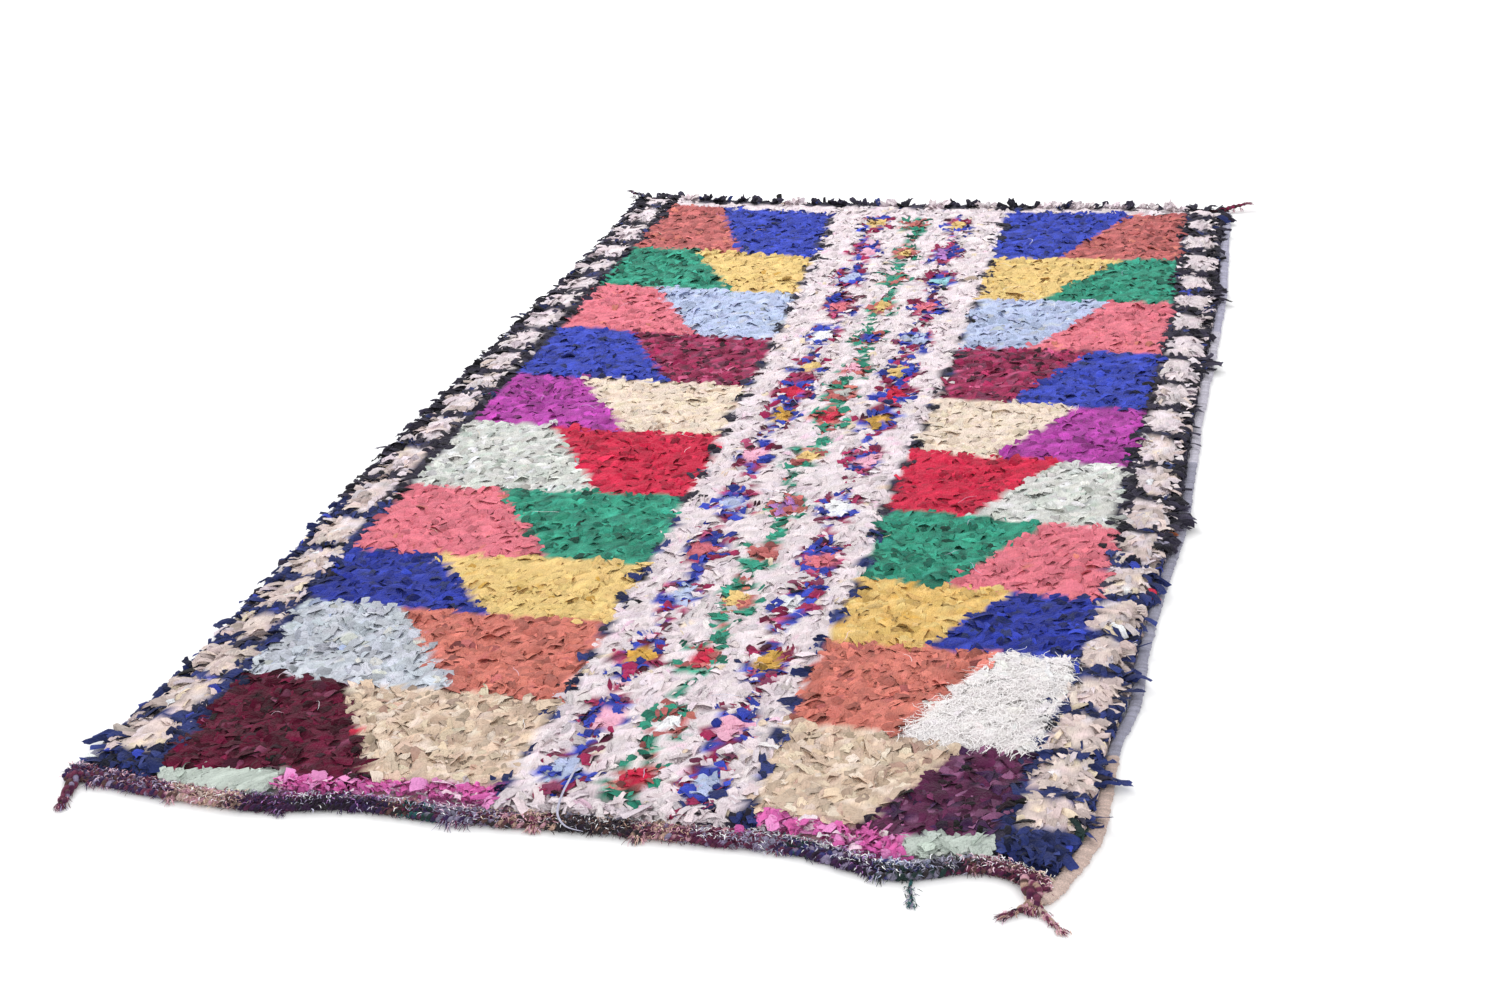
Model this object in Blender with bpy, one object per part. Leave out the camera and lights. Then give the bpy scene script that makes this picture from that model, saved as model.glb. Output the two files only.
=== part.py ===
"""Boucherouite rug: a flat, hand-knotted rag rug with a deep pile of cut cloth strips.

Metres, +Z up. The rug lies on z = 0 with its far end towards +Y and its right side towards +X.
The origin is under the middle of the whole rug, tails included.
The woven ground and its pile are one solid, with flat underside, lumpy top and locks of pile round its rim.
The overwrapped selvedges and the twined ends with their plaited tails are pieces of their own.
"""

import math
from collections import namedtuple

import bmesh
import bpy
import numpy as np
from mathutils import Vector

# Thicknesses
GROUND_TOP = 0.008
PILE_TOP = 0.021
RIM_TOP = 0.016
RIM_ROLL = 0.045
GAP = 0.0003

# The lumps of the pile: broad waves across and along the rug, and uneven tufts
WAVE_HEIGHT = 0.0009
Wave = namedtuple("Wave", "across along start")
WAVES = (
    Wave(across=31.0, along=9.0, start=0.4),
    Wave(across=-14.0, along=27.0, start=1.9),
    Wave(across=8.0, along=-38.0, start=4.1),
)
TUFT_HEIGHT = 0.0013
TUFT_SEED = 7

# How finely the top is divided
COLUMNS = 34
ROWS = 54

# Locks of pile that stand out round the rim
LOCK_LENGTH = (0.009, 0.022)
LOCK_INSET = 0.0022
LOCK_TIP = 0.45
LOCK_DROOP = 0.0012
LOCK_SWAY = 0.006
LOCK_SEED = 11

# Overwrapped selvedges
SELVEDGE_WIDTH = 0.018
SELVEDGE_TOP = 0.0065
SELVEDGE_BEAD = 0.0008
SELVEDGE_STOP = 0.004

# Twined ends
NEAR_BRAID_WIDTH = 0.034
NEAR_BRAID_TOP = 0.011
FAR_BRAID_WIDTH = 0.020
FAR_BRAID_TOP = 0.0065
KNOT_SWELL = 0.16
KNOTS_PER_CELL = 3

# Plaited tails
TAIL_TWIST_SWELL = 0.15
TAIL_RINGS = 10
TAIL_TAPER = 0.45
TAIL_TOP_SHARE = 0.6
TAIL_FLATNESS = 0.8

# Width across the woven ground, read at sections along the rug
Side = namedtuple("Side", "y left right")
SIDES = (
    Side(y=1.36, left=-0.700, right=0.690),
    Side(y=1.08, left=-0.690, right=0.698),
    Side(y=0.78, left=-0.690, right=0.706),
    Side(y=0.48, left=-0.700, right=0.702),
    Side(y=0.18, left=-0.705, right=0.696),
    Side(y=-0.12, left=-0.710, right=0.696),
    Side(y=-0.34, left=-0.710, right=0.692),
    Side(y=-0.54, left=-0.705, right=0.676),
    Side(y=-0.74, left=-0.696, right=0.666),
    Side(y=-0.94, left=-0.692, right=0.660),
    Side(y=-1.12, left=-0.700, right=0.648),
    Side(y=-1.22, left=-0.710, right=0.636),
    Side(y=-1.28, left=-0.718, right=0.616),
)

# Where the woven ground begins and ends, read at sections across the rug
End = namedtuple("End", "x near far")
ENDS = (
    End(x=-0.71, near=-1.262, far=1.362),
    End(x=-0.60, near=-1.276, far=1.354),
    End(x=-0.45, near=-1.288, far=1.348),
    End(x=-0.30, near=-1.288, far=1.348),
    End(x=-0.15, near=-1.283, far=1.350),
    End(x=0.00, near=-1.283, far=1.354),
    End(x=0.15, near=-1.281, far=1.360),
    End(x=0.30, near=-1.286, far=1.366),
    End(x=0.43, near=-1.298, far=1.374),
    End(x=0.53, near=-1.280, far=1.378),
    End(x=0.62, near=-1.296, far=1.380),
)

# Tails, plaited but for one thin tassel: the piece each belongs to, its thickness, its course on the floor
Tail = namedtuple("Tail", "node thickness course")
TAILS = (
    Tail("corner_plait_left", 0.013, ((-0.714, -1.3015), (-0.716, -1.322), (-0.702, -1.348), (-0.690, -1.378))),
    Tail("corner_plaits_right", 0.011, ((0.606, -1.3365), (0.598, -1.350), (0.578, -1.366), (0.552, -1.386))),
    Tail("corner_plaits_right", 0.011, ((0.606, -1.3365), (0.609, -1.352), (0.622, -1.376), (0.642, -1.404))),
    Tail("end_tassel", 0.006, ((0.455, -1.3355), (0.457, -1.350), (0.453, -1.366), (0.456, -1.384))),
    Tail("end_braid_far", 0.008, ((-0.700, 1.372), (-0.722, 1.382), (-0.742, 1.381), (-0.758, 1.386))),
    Tail("end_braid_far", 0.008, ((0.690, 1.390), (0.712, 1.395), (0.736, 1.396), (0.758, 1.4035))),
)

COLOURS = {
    "rug": ((0.72, 0.62, 0.58), 0.9),
    "selvedge_left": ((0.55, 0.54, 0.66), 0.85),
    "selvedge_right": ((0.55, 0.54, 0.66), 0.85),
    "end_braid_near": ((0.13, 0.07, 0.14), 0.95),
    "end_braid_far": ((0.13, 0.07, 0.14), 0.95),
    "corner_plait_left": ((0.27, 0.10, 0.16), 0.95),
    "corner_plaits_right": ((0.27, 0.10, 0.16), 0.95),
    "end_tassel": ((0.10, 0.16, 0.15), 0.95),
}


def clear_scene():
    for obj in list(bpy.data.objects):
        bpy.data.objects.remove(obj, do_unlink=True)


def curve_through(at, stations, values):
    """The value at each of these places, on a smooth curve through the stations."""
    order = np.argsort(stations)
    x = np.asarray(stations, float)[order]
    y = np.asarray(values, float)[order]
    slope = np.gradient(y, x)
    at = np.clip(np.asarray(at, float), x[0], x[-1])
    i = np.clip(np.searchsorted(x, at) - 1, 0, len(x) - 2)
    width = x[i + 1] - x[i]
    t = (at - x[i]) / width
    return (
        (2 * t**3 - 3 * t**2 + 1) * y[i]
        + (t**3 - 2 * t**2 + t) * width * slope[i]
        + (3 * t**2 - 2 * t**3) * y[i + 1]
        + (t**3 - t**2) * width * slope[i + 1]
    )


def side_x(y, side):
    return curve_through(y, [s.y for s in SIDES], [getattr(s, side) for s in SIDES])


def end_y(x, end):
    return curve_through(x, [e.x for e in ENDS], [getattr(e, end) for e in ENDS])


def plan_point(across, along):
    """The point of the ground at these shares of its width and length, in plan."""
    x = ENDS[0].x + across * (ENDS[-1].x - ENDS[0].x)
    near, far = end_y(x, "near"), end_y(x, "far")
    y = near + along * (far - near)
    left, right = side_x(y, "left"), side_x(y, "right")
    return left + across * (right - left), y


def pile_height(x, y, to_rim):
    """Height of the pile's lumpy top, which rolls down at the rim."""
    waves = sum(np.sin(w.across * x + w.along * y + w.start) for w in WAVES)
    tufts = np.random.default_rng(TUFT_SEED).uniform(-1, 1, x.shape)
    roll = np.clip(to_rim / RIM_ROLL, 0, 1) ** 0.5
    lumps = WAVE_HEIGHT * waves + TUFT_HEIGHT * tufts
    return RIM_TOP + (PILE_TOP - RIM_TOP + lumps) * roll


def rim_cells():
    """Row and column of each point round the top's rim, anticlockwise from the near left corner."""
    near = [(0, c) for c in range(COLUMNS)]
    right = [(r, COLUMNS) for r in range(ROWS)]
    far = [(ROWS, c) for c in range(COLUMNS, 0, -1)]
    left = [(r, 0) for r in range(ROWS, 0, -1)]
    return near + right + far + left


def edge_line(name):
    """The points of one edge of the ground in plan, far to near for a side and left to right for an end."""
    if name in ("left", "right"):
        across = 0.0 if name == "left" else 1.0
        shares = np.linspace(1, 0, ROWS + 1)
        x, y = plan_point(np.full(ROWS + 1, across), shares)
    else:
        along = 0.0 if name == "near" else 1.0
        shares = np.linspace(0, 1, COLUMNS + 1)
        x, y = plan_point(shares, np.full(COLUMNS + 1, along))
    return [Vector((a, b, 0)) for a, b in zip(x, y)]


def new_object(name, mesh):
    obj = bpy.data.objects.new(name, mesh)
    bpy.context.scene.collection.objects.link(obj)
    return obj


def finish_object(obj):
    """Gives the object its own material and smooth shading."""
    colour, roughness = COLOURS[obj.name]
    material = bpy.data.materials.new(obj.name)
    material.use_nodes = True
    shader = material.node_tree.nodes["Principled BSDF"]
    shader.inputs["Base Color"].default_value = (*colour, 1)
    shader.inputs["Roughness"].default_value = roughness
    shader.inputs["Metallic"].default_value = 0
    obj.data.materials.append(material)
    obj.data.shade_smooth()
    obj.data.set_sharp_from_angle(angle=math.radians(50))


def ground_and_pile():
    """The closed slab under the locks, and its upper wall faces in order round the rim."""
    mesh = bmesh.new()
    across, along = np.meshgrid(np.linspace(0, 1, COLUMNS + 1), np.linspace(0, 1, ROWS + 1))
    x, y = plan_point(across, along)
    width, length = SIDES[0].right - SIDES[0].left, ENDS[0].far - ENDS[0].near
    to_rim = np.minimum(
        np.minimum(across, 1 - across) * width, np.minimum(along, 1 - along) * length
    )
    z = pile_height(x, y, to_rim)
    top = [
        [mesh.verts.new((x[r, c], y[r, c], z[r, c])) for c in range(COLUMNS + 1)]
        for r in range(ROWS + 1)
    ]
    for r in range(ROWS):
        for c in range(COLUMNS):
            mesh.faces.new((top[r][c], top[r][c + 1], top[r + 1][c + 1], top[r + 1][c]))
    rim = [top[r][c] for r, c in rim_cells()]
    waist = [mesh.verts.new((v.co.x, v.co.y, GROUND_TOP)) for v in rim]
    foot = [mesh.verts.new((v.co.x, v.co.y, 0)) for v in rim]
    walls = []
    for i in range(len(rim)):
        j = (i + 1) % len(rim)
        mesh.faces.new((foot[i], foot[j], waist[j], waist[i]))
        walls.append(mesh.faces.new((waist[i], waist[j], rim[j], rim[i])))
    mesh.faces.new(list(reversed(foot)))
    return mesh, walls


def halved(mesh, wall):
    """The wall face as two faces side by side."""
    flat = [e for e in wall.edges if abs(e.verts[0].co.z - e.verts[1].co.z) < 0.6 * e.calc_length()]
    flat.sort(key=lambda e: e.verts[0].co.z + e.verts[1].co.z)
    middles = [bmesh.utils.edge_split(e, e.verts[0], 0.5)[1] for e in (flat[0], flat[-1])]
    other, _ = bmesh.utils.face_split(wall, middles[0], middles[1])
    return [wall, other]


def add_locks(mesh, walls):
    """Draws each half of the wall out into a tapered lock of pile."""
    chance = np.random.default_rng(LOCK_SEED)
    halves = [half for wall in walls for half in halved(mesh, wall)]
    bmesh.ops.inset_individual(mesh, faces=halves, thickness=LOCK_INSET)
    for face in halves:
        out = face.normal.copy()
        out.z = 0
        out.normalize()
        sideways = Vector((-out.y, out.x, 0))
        reach = out * chance.uniform(*LOCK_LENGTH) + sideways * chance.uniform(-LOCK_SWAY, LOCK_SWAY)
        middle = face.calc_center_median()
        for vert in face.verts:
            vert.co = middle + (vert.co - middle) * LOCK_TIP + reach
            vert.co.z -= LOCK_DROOP


def make_rug():
    mesh, walls = ground_and_pile()
    add_locks(mesh, walls[COLUMNS:])
    bmesh.ops.recalc_face_normals(mesh, faces=mesh.faces)
    data = bpy.data.meshes.new("rug")
    mesh.to_mesh(data)
    mesh.free()
    finish_object(new_object("rug", data))


def loft(name, rings):
    """A closed solid through these rings of points, with flat ends."""
    sides = len(rings[0])
    points = [p for ring in rings for p in ring]
    faces = [
        (k * sides + i, k * sides + (i + 1) % sides, (k + 1) * sides + (i + 1) % sides, (k + 1) * sides + i)
        for k in range(len(rings) - 1)
        for i in range(sides)
    ]
    faces.append(tuple(range(sides)))
    faces.append(tuple(range((len(rings) - 1) * sides, len(rings) * sides)))
    data = bpy.data.meshes.new(name)
    data.from_pydata(points, [], faces)
    mesh = bmesh.new()
    mesh.from_mesh(data)
    bmesh.ops.recalc_face_normals(mesh, faces=mesh.faces)
    mesh.to_mesh(data)
    mesh.free()
    return new_object(name, data)


def outward_at(line, outside):
    """The mitred direction away from the ground at each point of its edge line."""
    found = []
    for i in range(len(line)):
        run = (line[min(i + 1, len(line) - 1)] - line[max(i - 1, 0)]).normalized()
        out = Vector((run.y, -run.x, 0))
        found.append(out if out.dot(outside) > 0 else -out)
    return found


def edging(name, line, outside, width, top, swell, steps):
    """A flat-bottomed band along an edge line, with a bead at every step between two points of the line."""
    outs = outward_at(line, outside)
    rings = []
    for i in range(len(line) - 1):
        last = i == len(line) - 2
        for s in range(steps + last):
            share = s / steps
            start = line[i].lerp(line[i + 1], share)
            out = outs[i].lerp(outs[i + 1], share).normalized()
            bead = 1 + swell * (1 if (i * steps + s) % 2 else -1)
            profile = (
                (GAP, 0.0),
                (GAP, 0.62 * top),
                (0.30 * width, 0.97 * top * bead),
                (0.70 * width, 0.88 * top * bead),
                (width * (1 + 0.5 * (bead - 1)), 0.40 * top),
                (width * (0.94 + 0.5 * (bead - 1)), 0.0),
            )
            rings.append([start + out * reach + Vector((0, 0, height)) for reach, height in profile])
    return loft(name, rings)


def tail(name, thickness, course):
    """A plaited tail of four sides that lies level on the floor."""
    points = [Vector((*p, 0)) for p in course]
    rings = []
    for k in range(TAIL_RINGS + 1):
        share = k / TAIL_RINGS * (len(points) - 1)
        i = min(int(share), len(points) - 2)
        here = points[i].lerp(points[i + 1], share - i)
        run = (points[i + 1] - points[i]).normalized()
        across = Vector((-run.y, run.x, 0))
        swell = 1 + TAIL_TWIST_SWELL * (1 if k % 2 else -1)
        half = 0.5 * thickness * swell * (1 - TAIL_TAPER * k / TAIL_RINGS)
        up = Vector((0, 0, 2 * half * TAIL_FLATNESS))
        narrow = across * half * TAIL_TOP_SHARE
        rings.append([here - across * half, here + across * half, here + narrow + up, here - narrow + up])
    return loft(name, rings)


def fuse_tails(obj, rows):
    """Fuses these tails into the object."""
    for number, row in enumerate(rows, 1):
        other = tail(f"{obj.name}_tail_{number}", row.thickness, row.course)
        other.hide_render = True
        other.display_type = "WIRE"
        joint = obj.modifiers.new(f"tail_{number}", "BOOLEAN")
        joint.operation = "UNION"
        joint.object = other


def make_loose_tails():
    """The tails that stand apart from both twined ends."""
    for name in ("corner_plait_left", "corner_plaits_right", "end_tassel"):
        first, *others = [t for t in TAILS if t.node == name]
        piece = tail(name, first.thickness, first.course)
        fuse_tails(piece, others)
        finish_object(piece)


def extended(line, reach):
    """The line with a straight stretch added at each end."""
    first = line[0] + (line[0] - line[1]).normalized() * reach
    last = line[-1] + (line[-1] - line[-2]).normalized() * reach
    return [first, *line, last]


def shortened(line, stop):
    """The line with a little taken off each end."""
    first = line[0] + (line[1] - line[0]).normalized() * stop
    last = line[-1] + (line[-2] - line[-1]).normalized() * stop
    return [first, *line[1:-1], last]


def make_selvedges():
    for side, outside in (("left", Vector((-1, 0, 0))), ("right", Vector((1, 0, 0)))):
        band = edging(
            f"selvedge_{side}",
            shortened(edge_line(side), SELVEDGE_STOP),
            outside,
            SELVEDGE_WIDTH,
            SELVEDGE_TOP,
            SELVEDGE_BEAD / SELVEDGE_TOP / 2,
            1,
        )
        finish_object(band)


def make_end_braids():
    near = extended(edge_line("near"), SELVEDGE_WIDTH)
    far = extended(edge_line("far"), SELVEDGE_WIDTH)
    braids = (
        ("end_braid_near", near, Vector((0, -1, 0)), NEAR_BRAID_WIDTH, NEAR_BRAID_TOP),
        ("end_braid_far", far, Vector((0, 1, 0)), FAR_BRAID_WIDTH, FAR_BRAID_TOP),
    )
    for name, line, outside, width, top in braids:
        braid = edging(name, line, outside, width, top, KNOT_SWELL, KNOTS_PER_CELL)
        fuse_tails(braid, [t for t in TAILS if t.node == name])
        finish_object(braid)


def main():
    clear_scene()
    make_rug()
    make_selvedges()
    make_end_braids()
    make_loose_tails()


main()
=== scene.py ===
"""Looks of the boucherouite rug: its pile of cut strips, woven ground, selvedges, twined ends and tails.

Metres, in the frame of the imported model: +X to the right, +Y to the far end, +Z up.
"""

import math
from collections import namedtuple

import bpy
import numpy as np
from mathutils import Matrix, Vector
from mathutils.bvhtree import BVHTree


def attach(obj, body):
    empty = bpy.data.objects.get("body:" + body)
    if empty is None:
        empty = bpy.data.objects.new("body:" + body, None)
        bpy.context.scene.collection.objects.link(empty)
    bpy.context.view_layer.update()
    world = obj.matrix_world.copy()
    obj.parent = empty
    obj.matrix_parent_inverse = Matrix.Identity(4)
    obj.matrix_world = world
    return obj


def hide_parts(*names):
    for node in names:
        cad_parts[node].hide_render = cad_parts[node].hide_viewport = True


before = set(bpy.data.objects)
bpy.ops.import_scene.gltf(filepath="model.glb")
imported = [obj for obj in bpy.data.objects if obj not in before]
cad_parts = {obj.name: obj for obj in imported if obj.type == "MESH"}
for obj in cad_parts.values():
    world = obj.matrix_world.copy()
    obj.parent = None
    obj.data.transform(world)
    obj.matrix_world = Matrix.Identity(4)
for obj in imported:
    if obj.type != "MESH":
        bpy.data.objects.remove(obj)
bpy.context.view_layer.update()

RUG_SURFACE = BVHTree.FromObject(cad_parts["rug"], bpy.context.evaluated_depsgraph_get())

# The photograph's camera
CAMERA_AT = (0.842, -3.382, 1.511)
CAMERA_TURN = (1.1306, 0.05, 0.2476)
LENS_MM = 50
SENSOR_MM = 36

# The studio: its floor and lamps
FLOOR_HALF = 30
FLOOR_LEVEL = -0.0005
FLOOR_COLOUR = (0.93, 0.93, 0.935, 1)
Lamp = namedtuple("Lamp", "name place size watts")
LAMPS = (
    Lamp("key", (-2.2, 3.0, 3.0), 2.4, 120),
    Lamp("fill", (2.8, -2.0, 3.6), 3.0, 15),
    Lamp("front", (0.4, -4.4, 1.9), 2.6, 25),
)

# Which way lies outside, at each side and end
OUTWARD = {"left": -1, "right": 1, "near": -1, "far": 1}

# The woven ground and the knots in it
GROUND_WIDE = 1.41
GROUND_LONG = 2.65
GROUND_THICK = 0.003
GROUND_CELL = 0.030
# Painted shade: the ground's tint is darkened, so that it shows as shadow through the gaps in the pile
GROUND_PAINTED_SHADE = 0.8
UNDERSIDE_PALER = 0.05
KNOTS_ACROSS = (-0.76, 0.76)
KNOTS_ALONG = (-1.32, 1.42)
KNOT_ROW = 0.0085
KNOT_STEP = 0.0094
KNOT_JITTER = (0.0021, 0.0017)
CROWD_STEP = 0.002

# Where the knots stop short of the ground's edges, and how the strips near them are held in
RIM_INSET = 0.006
RIGHT_INSET = 0.011
TUCKED_SHARE = 0.95
TUCK = 0.80
LEFT_TUCK = 0.38
NEAR_INSET = 0.006
NEAR_STAND = 0.040
NEAR_STAND_LEAST = 0.30
OVERHANG_CLEAR = 0.0085
AT_RIM = -0.002

# Heights of the pile
HIGHEST_PILE = 0.0340
ROOT_HEIGHT = 0.0035
LOWEST_PILE = 0.0042
BESIDE_RUG = 0.013

# The surface of packed feet below the strips
FEET_CELL = 0.014
FEET_INSET = 0.008
FEET_SHARE = 0.975
BORDER_FEET_SHARE = 0.92
FEET_JITTER = 0.0022
FEET_ROUGHNESS = 0.0016
NEAR_FEET = 0.001

# Which way the strips point: slow swirls, and a pull outwards near the rim
Swirl = namedtuple("Swirl", "size across along shift")
PILE_SWIRLS = (Swirl(0.40, 15, 6, 0), Swirl(0.36, -8, 21, 1))
FIELD_SWIRLS = (Swirl(0.55, 38, 17, 0), Swirl(0.50, -23, 50, 1))
SPLAY_WIDTH = 0.030
LEFT_PULL = 1.1
RIGHT_PULL = 0.5
FAR_PULL = 2.1

# How far ahead of its root a strip's visible part lies, and where the slab's height is read for it
REACH = 0.015
TOPS_AHEAD = 0.012

# Squares of the borders, dashes down the edges of the field, and the lines and teeth of the far border
SQUARE_INWARD = 0.030
SQUARE_OUTWARD = 0.040
SQUARE_GAP_AT = (-1.05, -0.75, 0.40, 1.00)
SQUARE_GAP = (0.0120, 0.0140, 0.0155, 0.0200)
END_SQUARE_HALF = 0.045
LEFT_SQUARES_OUT = 0.006
PALER_FROM = (-0.9, 0.4)
PALER_SHARE = (0.05, 1)
WIDER_BETWEEN = (-1.05, -0.75)
WIDER_NEAR = 1.18
SQUARE_BLUR = 0.0035
COLUMN_DASH_PITCH = 0.090
COLUMN_DASH = 0.042
COLUMN_DASH_HALF = 0.010
DASH_SWAY = 0.012
DASH_SWAY_TURN = 7
NAVY_STARTS = -0.42
FAR_LINE_AT = (-0.60, -0.20, 0.21, 0.61)
FAR_LINE_STEP = 0.03
FAR_PALE = 0.018
FAR_TOOTH_HALF = 0.011

# Side edges of the woven ground, read at sections along the rug
Side = namedtuple("Side", "y left right")
SIDES = (
    Side(1.36, -0.700, 0.690),
    Side(1.08, -0.690, 0.698),
    Side(0.78, -0.690, 0.706),
    Side(0.48, -0.700, 0.702),
    Side(0.18, -0.705, 0.696),
    Side(-0.12, -0.710, 0.696),
    Side(-0.34, -0.710, 0.692),
    Side(-0.54, -0.705, 0.676),
    Side(-0.74, -0.696, 0.666),
    Side(-0.86, -0.693, 0.667),
    Side(-0.97, -0.692, 0.651),
    Side(-1.12, -0.700, 0.648),
    Side(-1.22, -0.710, 0.636),
    Side(-1.28, -0.718, 0.616),
)

# Where the woven ground begins and ends, read at sections across the rug
End = namedtuple("End", "x near far")
ENDS = (
    End(-0.71, -1.262, 1.362),
    End(-0.60, -1.276, 1.354),
    End(-0.45, -1.288, 1.348),
    End(-0.30, -1.265, 1.348),
    End(-0.15, -1.268, 1.350),
    End(0.00, -1.259, 1.354),
    End(0.15, -1.259, 1.360),
    End(0.30, -1.261, 1.366),
    End(0.43, -1.288, 1.374),
    End(0.53, -1.257, 1.378),
    End(0.62, -1.292, 1.380),
)

# Edges of the borders and of the centre field, read at sections along the rug
Column = namedtuple("Column", "y border_left field_left field_right border_right")
COLUMNS = (
    Column(1.30, -0.600, -0.205, 0.205, 0.605),
    Column(0.98, -0.600, -0.180, 0.215, 0.612),
    Column(0.68, -0.600, -0.160, 0.225, 0.620),
    Column(0.38, -0.602, -0.143, 0.230, 0.616),
    Column(0.08, -0.604, -0.134, 0.230, 0.602),
    Column(-0.22, -0.610, -0.118, 0.222, 0.600),
    Column(-0.52, -0.610, -0.110, 0.232, 0.598),
    Column(-0.82, -0.604, -0.110, 0.220, 0.580),
    Column(-1.02, -0.600, -0.110, 0.215, 0.559),
    Column(-1.26, -0.600, -0.116, 0.215, 0.526),
)

# Bands of two colours on each side of the field, far to near: where each begins at the four columns' edges,
# where its colours meet at its far and near sides, and its colours from left to right
Band = namedtuple(
    "Band", "y_left y_field_left y_field_right y_right left_far left_near right_far right_near colours"
)
BANDS = (
    Band(1.270, 1.240, 1.280, 1.305, -0.48, -0.35, 0.49, 0.36, "rust cobalt cobalt rust"),
    Band(0.955, 0.920, 0.955, 0.980, -0.46, -0.30, 0.50, 0.35, "green yellow yellow green"),
    Band(0.700, 0.680, 0.690, 0.710, -0.48, -0.31, 0.50, 0.36, "coral sky sky coral"),
    Band(0.435, 0.410, 0.410, 0.430, -0.45, -0.29, 0.49, 0.36, "cobalt burgundy burgundy cobalt"),
    Band(0.170, 0.160, 0.145, 0.145, -0.465, -0.305, 0.49, 0.375, "purple beige beige purple"),
    Band(-0.070, -0.070, -0.090, -0.100, -0.445, -0.275, 0.49, 0.36, "mint crimson crimson mint"),
    Band(-0.350, -0.330, -0.330, -0.350, -0.450, -0.280, 0.49, 0.365, "coral green green coral"),
    Band(-0.600, -0.580, -0.580, -0.590, -0.475, -0.305, 0.47, 0.370, "deep_cobalt yellow gold deep_cobalt"),
    Band(-0.780, -0.780, -0.780, -0.780, -0.455, -0.270, 0.48, 0.37, "cloud salmon salmon ivory"),
    Band(-1.010, -1.010, -1.010, -1.040, -0.44, -0.295, 0.47, 0.362, "maroon sand sand plum"),
    Band(-1.268, -1.227, -1.226, -1.256, -0.43, -0.43, 0.44, 0.44, "pale_mint fuchsia fuchsia pale_mint"),
    Band(-1.400, -1.400, -1.400, -1.400, 0.0, 0.0, 0.0, 0.0, "beige beige beige beige"),
)

# Middles of the pale squares down each border, far to near
SQUARES_LEFT = (
    1.33, 1.20, 1.05, 0.915, 0.815, 0.705, 0.605, 0.485, 0.35, 0.23, 0.13,
    0.02, -0.105, -0.24, -0.405, -0.545, -0.65, -0.76, -0.87, -0.97, -1.08, -1.19,
)
SQUARES_RIGHT = (
    1.33, 1.235, 1.12, 0.97, 0.845, 0.73, 0.61, 0.485, 0.35, 0.225, 0.10,
    -0.02, -0.16, -0.28, -0.41, -0.52, -0.64, -0.75, -0.865, -0.975, -1.08, -1.17,
)

# Middles of the dark teeth along the far end and of the pale squares on its dark line
FAR_TEETH = (
    -0.545, -0.500, -0.455, -0.415, -0.365, -0.330, -0.245, -0.200, -0.150, -0.045, 0.030,
    0.070, 0.115, 0.170, 0.215, 0.265, 0.335, 0.380, 0.425, 0.470, 0.520, 0.565,
)
FAR_SQUARES = (-0.575, -0.311, -0.085, 0.032, 0.150, 0.295, 0.375, 0.448, 0.519, 0.578)
FAR_SQUARE_HALF = 0.024

# Single tufts of another cloth, here and there
OddTuft = namedtuple("OddTuft", "x y radius cloth")
ODD_TUFTS = (
    OddTuft(0.700, -0.339, 0.013, "orange"),
    OddTuft(0.678, -0.552, 0.011, "crimson"),
    OddTuft(0.680, -0.380, 0.012, "slate"),
    OddTuft(0.647, 0.778, 0.013, "cobalt"),
    OddTuft(0.680, -0.091, 0.012, "steel"),
    OddTuft(0.641, -1.197, 0.011, "bottle"),
    OddTuft(-0.364, -1.138, 0.011, "crimson"),
    OddTuft(-0.712, -1.238, 0.010, "square"),
    OddTuft(0.215, -1.246, 0.018, "navy"),
)

# Garlands of flowers down the field: their places across it and the colours of their hearts
GARLANDS = (-0.090, 0.0, 0.095)
Flowers = namedtuple("Flowers", "y left middle right")
FLOWERS = (
    Flowers(1.165, "yellow", "rust", "yellow"),
    Flowers(0.970, "pink", "yellow", "violet"),
    Flowers(0.795, "sky", "green", "aqua"),
    Flowers(0.620, "coral", "yellow", "coral"),
    Flowers(0.440, "white", "cobalt", "sky"),
    Flowers(0.268, "yellow", "pink", "yellow"),
    Flowers(0.150, "crimson", "mint", "crimson"),
    Flowers(0.035, "mustard", "crimson", "mustard"),
    Flowers(-0.148, "pink", "yellow", "pink"),
    Flowers(-0.345, "sky", "violet", "white"),
    Flowers(-0.525, "coral", "rust", "coral"),
    Flowers(-0.682, "sky", "yellow", "white"),
    Flowers(-0.865, "mustard", "crimson", "mustard"),
    Flowers(-1.045, "pink", "white", "pink"),
    Flowers(-1.185, "sky", "crimson", "sky"),
)
FLOWER_CELL = 0.0162
SIDE_CELL = 0.0094
MIDDLE_CELL = 0.0116
SIDE_FLOWERS = (
    (
        "....ww...",
        ".ww.wbb..",
        ".wbbbbbw.",
        "..bcccbb.",
        "wwcccccw.",
        "wwbccbbww",
        "..bbcbw..",
        ".bb.ww...",
        "....w....",
    ),
    (
        "..w......",
        ".wwbb.ww.",
        "..bbbbww.",
        ".bcccbb..",
        "bbccccwww",
        ".bcccbww.",
        "..wbbb...",
        ".ww.bb...",
        "......w..",
    ),
    (
        "...bb....",
        ".w.bbww..",
        "wwwccbww.",
        ".wcccc...",
        "bbccccbb.",
        ".bbccbbb.",
        "..wwbw...",
        ".ww..ww..",
        ".........",
    ),
)
MIDDLE_FLOWERS = (
    (
        "..gg...",
        ".grr.g.",
        ".rccrg.",
        "grcccr.",
        ".rrcrg.",
        "gg.r...",
        "...gg..",
    ),
    (
        "...g...",
        "gg.rrg.",
        ".rcccr.",
        "..cccrg",
        "grrcr..",
        ".gg.gg.",
        "....g..",
    ),
)

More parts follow.
